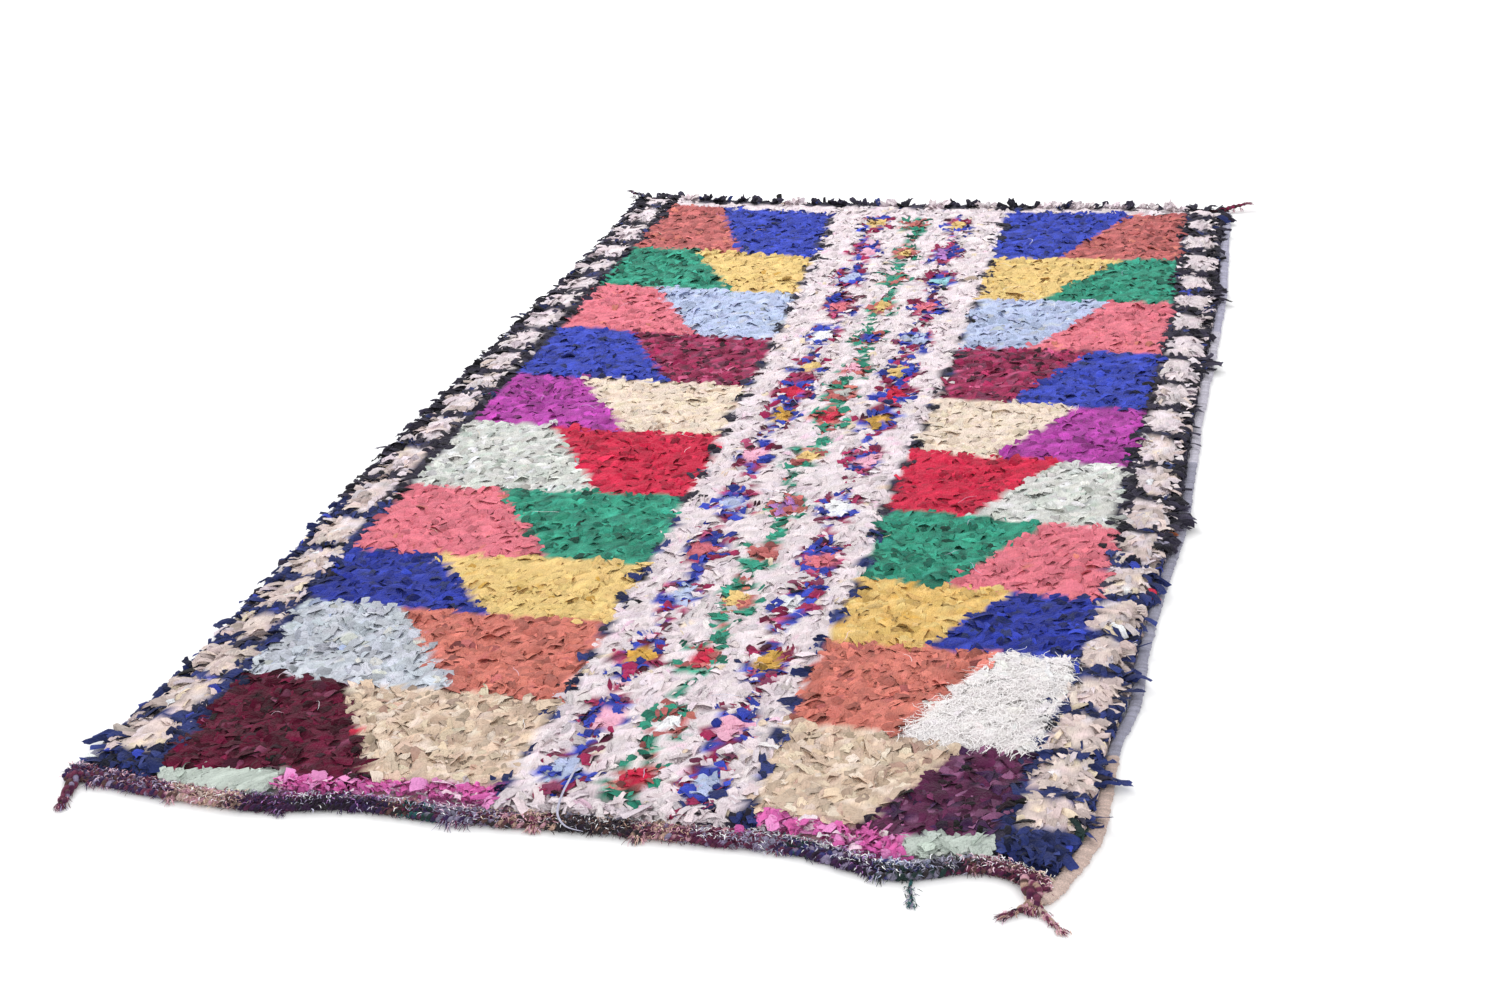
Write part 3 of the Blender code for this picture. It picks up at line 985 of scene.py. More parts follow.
def region(x, y):
    """0 for the borders, 1 for the left bands, 2 for the field, 3 for the right bands."""
    edges = column_edges(y)
    found = np.zeros(x.shape, int)
    found[(x >= edges[0]) & (x < edges[1])] = 1
    found[(x >= edges[1]) & (x <= edges[2])] = 2
    found[(x > edges[2]) & (x <= edges[3])] = 3
    return found


def knot_places(chance):
    """Where the strips are knotted into the ground: rows across it, a little uneven."""
    rows = np.arange(*KNOTS_ALONG, KNOT_ROW)
    steps = np.arange(*KNOTS_ACROSS, KNOT_STEP)
    x, y = np.meshgrid(steps, rows)
    x = x + (np.arange(len(rows)) % 2)[:, None] * KNOT_STEP / 2
    x = (x + chance.normal(0, KNOT_JITTER[0], x.shape)).ravel()
    y = (y + chance.normal(0, KNOT_JITTER[1], y.shape)).ravel()
    inside = (
        (x > side_x(y, "left") + RIM_INSET)
        & (x < side_x(y, "right") - RIGHT_INSET)
        & (y > end_y(x, "near") + NEAR_INSET)
        & (y < end_y(x, "far") - RIM_INSET)
    )
    return x[inside], y[inside]


def overhang(y):
    """1 where the strips hang out over the right selvedge, 0 elsewhere."""
    return np.clip(np.max([2 - 2 * abs(y - place.y) / place.half for place in OVERHANGS], axis=0), 0, 1)


def drifting(x, y, swirls):
    return sum(s.size * np.sin(s.across * x + s.along * y + s.shift) for s in swirls)


def headings(x, y, colours):
    """The way each strip points, in radians from the near end, positive to the right."""
    in_field = colours == CLOTH["field"]
    drift = np.where(in_field, drifting(x, y, FIELD_SWIRLS), drifting(x, y, PILE_SWIRLS))
    aim_x = np.sin(drift)
    aim_y = -np.cos(drift)
    square = (colours == CLOTH["square"]) | (colours == CLOTH["pale_square"])
    edges = column_edges(y)
    for inside, middle, squares in (
        (x < edges[0], (side_x(y, "left") + edges[0]) / 2, SQUARES_LEFT),
        (x > edges[3], (side_x(y, "right") + edges[3]) / 2, SQUARES_RIGHT),
    ):
        middles = np.array(squares)
        nearest = middles[np.argmin(abs(y[:, None] - middles[None, :]), axis=1)]
        fan = inside & square
        aim_x = np.where(fan, (x - middle) / FAN_ACROSS, aim_x)
        aim_y = np.where(fan, (y - nearest) / FAN_ALONG - FAN_DROOP, aim_y)
    for gap, out_x, out_y, strength in (
        (x - side_x(y, "left"), -1, 0, LEFT_PULL),
        (side_x(y, "right") - x, 1, 0, RIGHT_PULL + OVERHANG_PULL * overhang(y)),
        (end_y(x, "far") - y, 0, 1, FAR_PULL),
    ):
        pull = np.clip(1 - (gap - RIM_INSET) / SPLAY_WIDTH, 0, 1) * strength
        aim_x = aim_x + out_x * pull
        aim_y = aim_y + out_y * pull
    heading = np.arctan2(aim_x, -aim_y)
    return np.where(colours == CLOTH["pale_mint"], math.radians(PLEAT_HEADING), heading)


def top_heights(x, y):
    """Height of the CAD rug's top at each place, or of its rim beyond it."""
    down = Vector((0, 0, -1))
    found = []
    for px, py in zip(x, y):
        hit = RUG_SURFACE.ray_cast(Vector((px, py, 1)), down)[0]
        found.append(hit.z if hit else BESIDE_RUG)
    return np.array(found)


def arch(length, root_lift, tip_lift, stations):
    """How far out, how high and how steep each strip is at these stations, from its root to its tip."""
    fine = np.linspace(0, 1, FINE_STEPS + 1)
    lift = root_lift[:, None] + (tip_lift - root_lift)[:, None] * fine[None, :] ** LEVEL_SOON
    mid = (lift[:, 1:] + lift[:, :-1]) / 2
    step = (length / FINE_STEPS)[:, None]
    root = np.zeros((len(length), 1))
    out = np.concatenate((root, np.cumsum(np.cos(mid) * step, axis=1)), axis=1)
    up = np.concatenate((root, np.cumsum(np.sin(mid) * step, axis=1)), axis=1)
    picked = np.rint(stations * FINE_STEPS).astype(int)
    return out[:, picked], up[:, picked], lift[:, picked]


def held_in(points, chance):
    """The strips with most of them drawn in at the sides, clear of the floor and below the pile's top."""
    tucked = chance.random(len(points))[:, None, None] < TUCKED_SHARE
    over = np.maximum(points[..., 0] - side_x(points[..., 1], "right"), 0)
    points[..., 0] -= over * TUCK * tucked * (1 - overhang(points[..., 1]))
    over = np.maximum(side_x(points[..., 1], "left") - points[..., 0], 0)
    points[..., 0] += over * LEFT_TUCK * tucked * (points[..., 1] > CORNER_FROM)
    px, py = points[..., 0], points[..., 1]
    beyond = np.maximum(side_x(py, "left") - px, px - side_x(py, "right"))
    beyond = np.maximum(beyond, np.maximum(py - end_y(px, "far"), end_y(px, "near") - py))
    least = np.where(beyond > AT_RIM, OVERHANG_CLEAR, LOWEST_PILE)
    points[..., 2] = np.clip(points[..., 2], least, HIGHEST_PILE)
    return points


def strip_shapes(x, y, heading, kinds, tops, layer, chance):
    """Points of every strip, as strip, row, column and xyz, and its width and length."""
    n = len(x)
    table = {field: np.array([getattr(STYLES[k], field) for k in KINDS])[kinds] for field in Style._fields}
    length = chance.uniform(table["length"][:, 0], table["length"][:, 1])
    width = chance.uniform(table["width"][:, 0], table["width"][:, 1])
    length, width = length * layer.growth, width * layer.growth
    heading = heading + np.radians(table["spread"]) * chance.normal(0, 1, n)
    root_lift = np.radians(table["root_lift"] + chance.normal(0, ROOT_LIFT_SPREAD, n))
    tip_lift = np.radians(table["tip_lift"] + layer.droop + table["tip_spread"] * chance.normal(0, 1, n))
    roll = np.radians(table["roll"]) * chance.normal(0, 1, n)
    twist = np.radians(table["roll"]) * chance.normal(0, 1, n)
    fold = 0.5 * table["fold"] * (FOLD_LEAST + abs(chance.normal(0, FOLD_SPREAD, n)))
    fold_pitch = chance.uniform(*FOLD_PITCH, n)
    fold_start = chance.uniform(*FOLD_START, n)
    skew = chance.normal(0, CUT_SKEW, n)
    point = chance.uniform(*CUT_POINT, n)

    s = np.array(layer.stations)
    out, up, lift = arch(length, root_lift, tip_lift, s)
    rise = tops * table["rise"] * chance.normal(RISE_MIDDLE, RISE_SPREAD, n) * layer.rise - ROOT_HEIGHT
    stand = np.clip((y - end_y(x, "near")) / NEAR_STAND, NEAR_STAND_LEAST, 1)
    up = up * (rise / np.maximum(up.max(axis=1), LEAST_ARCH))[:, None]

    bend = heading[:, None] + chance.normal(0, BEND_SPREAD, n)[:, None] * s[None, :]
    along = np.stack((np.sin(bend), -np.cos(bend)), axis=-1)
    path = np.zeros((n, len(s), 3))
    path[..., 0] = x[:, None] + along[..., 0] * out
    path[..., 1] = y[:, None] + along[..., 1] * out * stand[:, None]
    path[..., 2] = ROOT_HEIGHT + up

    tangent = np.stack((along[..., 0] * np.cos(lift), along[..., 1] * np.cos(lift), np.sin(lift)), axis=-1)
    normal = np.stack((-along[..., 0] * np.sin(lift), -along[..., 1] * np.sin(lift), np.cos(lift)), axis=-1)
    side = np.stack((np.cos(bend), np.sin(bend), np.zeros_like(bend)), axis=-1)
    turn = (roll[:, None] + twist[:, None] * s[None, :])[..., None]
    side, normal = side * np.cos(turn) + normal * np.sin(turn), normal * np.cos(turn) - side * np.sin(turn)

    flare = np.interp(s, FLARE_AT, FLARE)[None, :]
    flare = flare * (1 + chance.uniform(*TAPER, n)[:, None] * s[None, :] ** 2)
    flare = flare * (1 + WIDTH_SPREAD * chance.normal(0, 1, (n, len(s))))
    u = np.linspace(-0.5, 0.5, layer.columns)
    across = (width[:, None] * flare)[..., None, None] * u[None, None, :, None]
    crease = np.cos(2 * math.pi * (fold_pitch[:, None] * u[None, :] + fold_start[:, None]))
    crease = (fold * width)[:, None, None] * crease[:, None, :]
    crease = (crease * np.interp(s, CREASE_AT, CREASE)[None, :, None])[..., None]
    points = path[:, :, None, :] + side[:, :, None, :] * across + normal[:, :, None, :] * crease

    cut = skew[:, None] * u[None, :] + point[:, None] * (0.5 - abs(u))[None, :]
    cut = cut + RAGGED * chance.normal(0, 1, (n, len(u)))
    late = s[None, :, None] ** 3
    points += tangent[:, :, None, :] * (cut[:, None, :] * late * width[:, None, None])[..., None]
    loose = table["crumple"][:, None, None] * chance.normal(0, 1, (n, len(s), layer.columns))
    points += normal[:, :, None, :] * loose[..., None]
    return held_in(points, chance), width, length


def tints(colours, chance):
    """Linear colour of each strip, with strays and the unevenness of old rags."""
    colours = colours.copy()
    draw = chance.random(len(colours))
    spent = np.zeros(len(colours))
    was = colours.copy()
    for stray in STRAYS:
        here = (was == CLOTH[stray.among]) & (draw >= spent) & (draw < spent + stray.share)
        paint(colours, here, stray.cloth)
        spent[was == CLOTH[stray.among]] += stray.share
    n = len(colours)
    spread = np.interp(LINEAR[colours].max(axis=1), SPREAD_AT, (DARK_SPREAD, PALE_SPREAD))[:, None]
    light = 1 + spread * chance.normal(0, 1, (n, 1))
    hue = 1 + HUE_SPREAD * chance.normal(0, 1, (n, 3))
    return np.clip(LINEAR[colours] * light * hue, 0, 1)


def shaded(tint, count, spread, chance):
    """Rows of a tint, each a little lighter or darker than the next."""
    return np.clip(tint * (1 + spread * chance.normal(0, 1, (count, 1))), 0, 1)


def link(obj):
    bpy.context.scene.collection.objects.link(obj)
    return obj


def mesh_object(name, points, faces, material, tint=None, smooth=True):
    """A mesh from arrays of points and of faces with four corners each."""
    mesh = bpy.data.meshes.new(name)
    faces = np.asarray(faces, np.int32)
    mesh.vertices.add(len(points))
    mesh.vertices.foreach_set("co", np.asarray(points, np.float32).ravel())
    mesh.loops.add(faces.size)
    mesh.loops.foreach_set("vertex_index", faces.ravel())
    mesh.polygons.add(len(faces))
    mesh.polygons.foreach_set("loop_start", np.arange(0, faces.size, 4, dtype=np.int32))
    mesh.update(calc_edges=True)
    mesh.polygons.foreach_set("use_smooth", np.full(len(faces), smooth))
    if tint is not None:
        layer = mesh.color_attributes.new("Tint", "FLOAT_COLOR", "POINT")
        rgba = np.ones((len(points), 4), np.float32)
        rgba[:, :3] = tint
        layer.data.foreach_set("color", rgba.ravel())
    mesh.materials.append(material)
    return link(bpy.data.objects.new(name, mesh))


def add_uv(mesh, name, per_point, corners):
    layer = mesh.uv_layers.new(name=name)
    layer.data.foreach_set("uv", np.asarray(per_point, np.float32)[corners].ravel())


def grid_faces(one):
    """Faces between the neighbours in a grid of point numbers."""
    return np.stack((one[:-1, :-1], one[:-1, 1:], one[1:, 1:], one[1:, :-1]), axis=-1).reshape(-1, 4)


def ribbons(name, points, width, length, tint, material, chance, painted_shade=None):
    """One mesh of many strips, with the cloth's coordinates in metres and a bake cell for each strip."""
    n, rows, columns = points.shape[:3]
    quad = grid_faces(np.arange(rows * columns).reshape(rows, columns))
    faces = (quad[None] + (np.arange(n) * rows * columns)[:, None, None]).reshape(-1, 4)
    painted_shade = np.ones(rows) if painted_shade is None else painted_shade
    # Painted shade and highlight: each row of a strip darkened towards its root and lightened towards its
    # tip, the more so for dark cloths
    depth = np.interp(tint.max(axis=1), PAINTED_SHADE_DEPTH_AT, PAINTED_SHADE_DEPTH)[:, None]
    shades = tint[:, None, None] * (painted_shade[None, :] ** depth)[:, :, None, None]
    shades = np.repeat(shades, columns, axis=2).reshape(-1, 3)
    obj = mesh_object(name, points.reshape(-1, 3), faces, material, np.clip(shades, 0, 1))
    corners = faces.ravel()
    u = np.linspace(0, 1, columns)[None, None, :]
    v = np.linspace(0, 1, rows)[None, :, None]
    start = chance.uniform(0, CLOTH_METRES, (n, 2))[:, :, None, None]
    cloth = (start[:, 0] + u * width[:, None, None], start[:, 1] + v * length[:, None, None])
    cells = math.ceil(math.sqrt(n))
    column = (np.arange(n) % cells)[:, None, None]
    row = (np.arange(n) // cells)[:, None, None]
    cell = (
        (column + CELL_MARGIN + CELL_INNER * u) / cells,
        (row + CELL_MARGIN + CELL_INNER * v) / cells,
    )
    for layer_name, places in (("Cloth", cloth), ("OFBake", cell)):
        per_point = np.stack(np.broadcast_arrays(*places), axis=-1).reshape(-1, 2)
        add_uv(obj.data, layer_name, per_point, corners)
    return obj


def feed(tree, node, inputs):
    """Sets a node's inputs: a constant on the socket, or a link where an output is given."""
    for name, value in inputs.items():
        if isinstance(value, bpy.types.NodeSocket):
            tree.links.new(value, node.inputs[name])
        else:
            node.inputs[name].default_value = value


def add_node(tree, kind, inputs, **settings):
    node = tree.nodes.new(f"ShaderNode{kind}")
    for name, value in settings.items():
        setattr(node, name, value)
    feed(tree, node, inputs)
    return node


def matte_material(name, roughness, sheen, specular):
    """A matte material, its nodes, its shader and the cloth's own coordinates."""
    material = bpy.data.materials.new(name)
    material.use_nodes = True
    tree = material.node_tree
    shader = tree.nodes["Principled BSDF"]
    feed(tree, shader, {"Roughness": roughness, "Specular IOR Level": specular})
    feed(tree, shader, {"Sheen Weight": sheen, "Sheen Roughness": 0.5})
    cloth = add_node(tree, "UVMap", {}, uv_map="Cloth")
    return material, tree, shader, cloth.outputs["UV"]


def colour_by(tree, shader, texture, darkest, lightest):
    """Colours the shader with the mesh's tint, darker and lighter along with a texture."""
    tint = add_node(tree, "Attribute", {}, attribute_name="Tint")
    limits = {"Value": texture, "From Min": 0.3, "From Max": 0.7, "To Min": darkest, "To Max": lightest}
    light = add_node(tree, "MapRange", limits)
    product = {0: tint.outputs["Color"], "Scale": light.outputs["Result"]}
    colour = add_node(tree, "VectorMath", product, operation="SCALE")
    feed(tree, shader, {"Base Color": colour.outputs["Vector"]})


def bump_by(tree, shader, textures):
    """Bumps on the shader, one on the other: each a texture, a strength and a depth in metres."""
    below = {}
    for texture, strength, depth in textures:
        bump = add_node(tree, "Bump", {"Strength": strength, "Distance": depth, "Height": texture, **below})
        below = {"Normal": bump.outputs["Normal"]}
    feed(tree, shader, below)


def cloth_material(name, roughness, sheen, crease, weave, dye_and_fold_shade):
    """Matte cut cloth: its tint from the strips, uneven dye that also paints shade into the hollows of the
    folds, fine weave and lengthwise creases.
    """
    material, tree, shader, cloth = matte_material(name, roughness, sheen, 0.2)
    creases = add_node(tree, "Mapping", {"Vector": cloth, "Scale": (420, 70, 1)})
    folds = add_node(tree, "TexNoise", {"Vector": creases.outputs["Vector"], "Scale": 1.0, "Detail": 3.0})
    crumples = add_node(tree, "TexNoise", {"Vector": cloth, "Scale": 190.0, "Detail": 2.0})
    wave = {"Vector": cloth, "Scale": 260.0, "Distortion": 1.2}
    warp, weft = [add_node(tree, "TexWave", wave, bands_direction=way) for way in ("X", "Y")]
    threads = add_node(tree, "Math", {0: warp.outputs["Fac"], 1: weft.outputs["Fac"]}, operation="MULTIPLY")
    # Uneven dye and painted shade: darker in the hollows of the same fold texture that bumps the creases
    colour_by(tree, shader, folds.outputs["Fac"], 1 - dye_and_fold_shade, 1 + dye_and_fold_shade * 0.6)
    textures = (
        (threads.outputs["Value"], weave, 0.0003),
        (crumples.outputs["Fac"], crease, 0.0034),
        (folds.outputs["Fac"], crease, 0.0026),
    )
    bump_by(tree, shader, textures)
    return material


def make_pile(chance):
    """The pile: its feet, its pleats, and its strips in eight pieces."""
    x, y = knot_places(chance)
    crowded = pattern(x, y - REACH, chance) == CLOTH["fuchsia"]
    x = np.append(x, x[crowded] + KNOT_STEP / 2)
    y = np.append(y, y[crowded] + CROWD_STEP)
    colours = pattern(x, y - REACH, chance)
    kinds = np.array([KINDS.index(KIND_OF_CLOTH.get(cloth, "shard")) for cloth in CLOTHS])[colours]
    where = region(x, y - REACH)
    petals = (where == 2) & (kinds == KINDS.index("shard"))
    kinds[petals] = KINDS.index("petal")
    rim = (end_y(x, "far") - y < TOOTH_ZONE) & (where != 0)
    kinds[rim & (colours == CLOTH["charcoal"])] = KINDS.index("low")
    kinds[rim & (distance(x, FAR_TEETH) < FAR_TOOTH_HALF)] = KINDS.index("tooth")
    kinds[rim & (distance(x, FAR_SQUARES) < FAR_SQUARE_HALF)] = KINDS.index("tooth")
    heading = headings(x, y, colours)
    tops = top_heights(x + TOPS_AHEAD * np.sin(heading), y - TOPS_AHEAD * np.cos(heading))
    rag = cloth_material("rag_cloth", roughness=0.9, sheen=0.05, crease=1.0, weave=0.25, dye_and_fold_shade=0.13)
    pieces = [make_feet(rag, chance), make_pleats(rag, chance)]
    level = chance.choice(len(LAYERS), len(x), p=[layer.share for layer in LAYERS])
    for depth, layer in enumerate(LAYERS):
        for number, part in enumerate(("borders", "bands_left", "field", "bands_right")):
            mine = (where == number) & (level == depth)
            points, width, length = strip_shapes(
                x[mine], y[mine], heading[mine], kinds[mine], tops[mine], layer, chance
            )
            shown = points[:, np.array(layer.stations) > VISIBLE_FROM].mean(axis=(1, 2))
            tint = tints(pattern(shown[:, 0], shown[:, 1], chance), chance)
            # Painted shade at the roots of the strips and painted highlight at their tips
            painted_shade = np.interp(layer.stations, PAINTED_SHADE_AT, PAINTED_SHADE)
            piece = ribbons(f"pile_{part}_{layer.name}", points, width, length, tint, rag, chance, painted_shade)
            pieces.append(place(piece, "rag_pile", "rug"))
    return pieces


def make_pleats(material, chance):
    """The slanting pleats of the pale mint rows at the near end."""
    heading = math.radians(PLEAT_HEADING)
    share = np.linspace(0, 1, len(PLEAT_TOP))
    u = np.linspace(-0.5, 0.5, PLEAT_COLUMNS)
    across = np.array((math.cos(heading), math.sin(heading), 0))
    shapes = []
    for row in PLEAT_ROWS:
        for start in np.arange(row.left, row.right + PLEAT_OVERRUN, PLEAT_PITCH):
            far = np.interp(start, (row.left, row.right), (row.far_left, row.far_right))
            near = end_y(np.array([start]), "near")[0] + PLEAT_STOP
            slide = math.tan(heading) * (far - near)
            first, last = np.clip(((row.right - start) / slide, (row.left - start) / slide), 0, 1)
            if last - first < PLEAT_LEAST:
                continue
            down = first + (last - first) * share
            path = np.zeros((len(share), 3))
            path[:, 0] = start + slide * down + PLEAT_JITTER[0] * chance.normal(0, 1, len(share))
            path[:, 1] = far + (near - far) * down + PLEAT_JITTER[1] * chance.normal(0, 1)
            top = np.interp(down, share, PLEAT_TOP)
            path[:, 2] = top + PLEAT_JITTER[2] * chance.normal(0, 1, len(share))
            ridge = PLEAT_RIDGE * chance.uniform(*PLEAT_HEIGHTS) * np.cos(2 * math.pi * u)
            width = PLEAT_WIDTH * chance.uniform(*PLEAT_WIDTHS)
            points = path[:, None, :] + (width * u)[None, :, None] * across
            points[..., 2] += ridge[None, :] + PLEAT_CRUMPLE * chance.normal(0, 1, points.shape[:2])
            shapes.append(points)
    points = np.array(shapes)
    n = len(points)
    tint = shaded(LINEAR[CLOTH["pale_mint"]], n, PLEAT_DYE, chance)
    size = (np.full(n, PLEAT_WIDTH), np.full(n, PLEAT_LENGTH))
    return place(ribbons("mint_pleats", points, *size, tint, material, chance), "rag_pile", "rug")


def ground_grid(cell, inset):
    """Points of a grid that fills the ground's outline, in plan, and the faces between them."""
    shares = [np.linspace(inset, 1 - inset, round(size / cell) + 1) for size in (GROUND_WIDE, GROUND_LONG)]
    across, along = np.meshgrid(*shares)
    x = ENDS[0].x + across * (ENDS[-1].x - ENDS[0].x)
    near, far = end_y(x, "near"), end_y(x, "far")
    y = near + along * (far - near)
    left, right = side_x(y, "left"), side_x(y, "right")
    x = left + across * (right - left)
    one = np.arange(x.size).reshape(x.shape)
    return x, y, one, grid_faces(one)


def make_feet(material, chance):
    """The crowded feet of the strips, which close the pile below its tips."""
    x, y, one, quad = ground_grid(FEET_CELL, FEET_INSET)
    x = x + chance.normal(0, FEET_JITTER, x.shape)
    y = y + chance.normal(0, FEET_JITTER, y.shape)
    flat_x, flat_y = x.ravel(), y.ravel()
    share = np.where(region(flat_x, flat_y) == 0, BORDER_FEET_SHARE, FEET_SHARE)
    z = top_heights(flat_x, flat_y) * share + chance.normal(0, FEET_ROUGHNESS, x.size)
    rim = np.concatenate((one[0], one[-1], one[:, 0], one[:, -1]))
    z[rim] = GROUND_THICK
    near = flat_y < end_y(flat_x, "near") + NEAR_INSET
    z[near] = GROUND_THICK + NEAR_FEET
    points = np.stack((flat_x, flat_y, z), axis=-1)
    tint = tints(pattern(flat_x, flat_y, chance), chance)
    feet = mesh_object("pile_feet", points, quad, material, tint)
    add_uv(feet.data, "Cloth", points[:, :2], quad.ravel())
    return place(feet, "rag_pile", "rug")


def make_ground(chance):
    """The woven ground as one thin closed sheet, with the knots' colours on it."""
    x, y, one, quad = ground_grid(GROUND_CELL, 0)
    flat = np.stack((x, y, np.zeros_like(x)), axis=-1).reshape(-1, 3)
    count = len(flat)
    points = np.concatenate((flat, flat + (0, 0, GROUND_THICK)))
    rim = np.concatenate((one[0, :-1], one[:-1, -1], one[-1, :0:-1], one[:0:-1, 0]))
    after = np.roll(rim, -1)
    walls = np.stack((rim, after, after + count, rim + count), axis=-1)
    faces = np.concatenate((quad[:, ::-1], quad + count, walls))
    tint = tints(pattern(flat[:, 0], flat[:, 1], chance), chance)
    # The ground's tint darkened on both faces as painted shade, the underside then a little paler
    both = np.concatenate((tint * GROUND_PAINTED_SHADE + UNDERSIDE_PALER, tint * GROUND_PAINTED_SHADE))
    rag = cloth_material("ground_cloth", roughness=0.95, sheen=0.1, crease=0.3, weave=0.4, dye_and_fold_shade=0.2)
    ground = mesh_object("ground_weave", points, faces, rag, both)
    add_uv(ground.data, "Cloth", points[:, :2], faces.ravel())
    return place(ground, "rag_pile", "rug")


def run_along(path):
    """How far along a path each of its points lies."""
    return np.concatenate(([0], np.cumsum(np.linalg.norm(np.diff(path, axis=0), axis=1))))


def smooth_path(course, step):
    """Evenly spaced points on a smooth curve through the course."""
    course = np.asarray(course, float)
    chord = run_along(course)
    fine = np.linspace(0, chord[-1], CURVE_POINTS * len(course))
    curve = np.stack([curve_through(fine, chord, values) for values in course.T], axis=-1)
    run = run_along(curve)
    even = np.linspace(0, run[-1], max(round(run[-1] / step), 3) + 1)
    return np.stack([np.interp(even, run, values) for values in curve.T], axis=-1)


def wander(run, step, size, chance):
    """A smooth random swing along a run of places."""
    knots = np.arange(run[0], run[-1] + 2 * step, step)
    return size * np.interp(run, knots, chance.normal(0, 1, len(knots)))


def directions(path):
    """Unit vectors along a path, across it and up from it."""
    along = np.gradient(path, axis=0)
    along /= np.linalg.norm(along, axis=1, keepdims=True)
    across = np.cross(along, (0.0, 0.0, 1.0))
    across /= np.linalg.norm(across, axis=1, keepdims=True)
    return along, across, np.cross(across, along)


def tube(path, radius, sides):
    """Rings of points round a path, drawn in at both ends."""
    radius = np.broadcast_to(radius, len(path)).copy()
    radius[[0, -1]] *= TUBE_TIP
    _, across, up = directions(path)
    angle = np.linspace(-math.pi / 2, 1.5 * math.pi, sides, endpoint=False)[None, :, None]
    ring = across[:, None] * np.cos(angle) + up[:, None] * np.sin(angle)
    rings = path[:, None] + ring * radius[:, None, None]
    rings[..., 2] = np.maximum(rings[..., 2], LOWEST)
    return rings


def yarn_numbers(x, rows, part, chance):
    """The cloth drawn at each place from the yarns that are twined there."""
    starts = np.array([row.x for row in rows])
    blurred = x + YARN_BLUR * chance.normal(0, 1, len(x))
    at = np.clip(np.searchsorted(starts, blurred, side="right") - 1, 0, len(rows) - 1)
    names = [" ".join(getattr(row, name) for name in part.split()).split() for row in rows]
    draw = chance.random(len(x))
    return np.array([CLOTH[names[a][int(d * len(names[a]))]] for a, d in zip(at, draw)])


def yarn_tint(x, run, rows, part, stretch, chance):
    """Linear colour of each ring of a yarn, which changes from one stretch of it to the next."""
    cell = (run / stretch).astype(int)
    first = np.searchsorted(cell, np.arange(cell[-1] + 1))
    numbers = yarn_numbers(x[np.minimum(first, len(x) - 1)], rows, part, chance)
    return shaded(LINEAR[numbers[cell]], len(x), YARN_DYE, chance)


def mixed_yarns(x, rows, flecked, chance):
    """The cloth at each place: one of the flecks' yarns where it is flecked, one of the body's elsewhere."""
    flecks = yarn_numbers(x, rows, "fleck", chance)
    return np.where(flecked, flecks, yarn_numbers(x, rows, "body", chance))


def tubes_object(name, tubes, material):
    """One mesh of tubes, each given as its rings of points and a colour for each ring."""
    points, faces, tint, cloth, cells = [], [], [], [], []
    count = 0
    for number, (rings, colours) in enumerate(tubes):
        rows, sides = rings.shape[:2]
        one = np.arange(rows * sides).reshape(rows, sides)
        turned = np.roll(one, -1, axis=1)
        quad = np.stack((one[:-1], turned[:-1], turned[1:], one[1:]), axis=-1).reshape(-1, 4)
        faces.append(quad + count)
        count += rows * sides
        points.append(rings.reshape(-1, 3))
        tint.append(np.repeat(colours, sides, axis=0))
        run = run_along(rings.mean(axis=1))
        girth = np.linalg.norm(rings - rings.mean(axis=1, keepdims=True), axis=-1).mean() * 2 * math.pi
        start = np.arange(sides)
        around = np.stack((start, start + 1, start + 1, start), axis=-1) / sides
        lower = np.stack((np.zeros(sides), np.zeros(sides), np.ones(sides), np.ones(sides)), axis=-1)
        level = np.arange(rows - 1)[:, None, None] + lower[None]
        around = np.broadcast_to(around[None], level.shape)
        length = np.interp(level, np.arange(rows), run)
        cloth.append(np.stack((around * girth + number, length), axis=-1).reshape(-1, 2))
        across = (number + CELL_MARGIN + CELL_INNER * around) / len(tubes)
        cells.append(np.stack((level / (rows - 1), across), axis=-1).reshape(-1, 2))
    faces = np.concatenate(faces)
    obj = mesh_object(name, np.concatenate(points), faces, material, np.concatenate(tint))
    for layer_name, values in (("Cloth", cloth), ("OFBake", cells)):
        layer = obj.data.uv_layers.new(name=layer_name)
        layer.data.foreach_set("uv", np.concatenate(values).astype(np.float32).ravel())
    return obj


def yarn_material(name, roughness, sheen, across, along, bump):
    """Woolly yarn: its tint from the strands, darker in the hollows of its fuzz as painted shade, slanting
    fibres and a soft, uneven surface.
    """
    material, tree, shader, cloth = matte_material(name, roughness, sheen, 0.12)
    slant = add_node(tree, "Mapping", {"Vector": cloth, "Scale": (across, along, 1)})
    wave = {"Scale": 1.0, "Distortion": 2.5, "Detail": 2.0, "Detail Scale": 1.5}
    fibre = add_node(tree, "TexWave", {"Vector": slant.outputs["Vector"], **wave}, bands_direction="DIAGONAL")
    fuzz = add_node(tree, "TexNoise", {"Vector": cloth, "Scale": 700.0, "Detail": 3.0})
    # Uneven colour and painted shade: darker in the hollows of the fuzz texture that also bumps the surface
    colour_by(tree, shader, fuzz.outputs["Fac"], 0.72, 1.25)
    bump_by(tree, shader, ((fibre.outputs["Fac"], bump, 0.0009), (fuzz.outputs["Fac"], bump, 0.0008)))
    return material


def place(piece, slot, *nodes):
    """Fixes a piece to the rug in place of these solids, which it hides; the slot is not used."""
    for node in nodes:
        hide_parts(node)
    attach(piece, "root")
    return piece


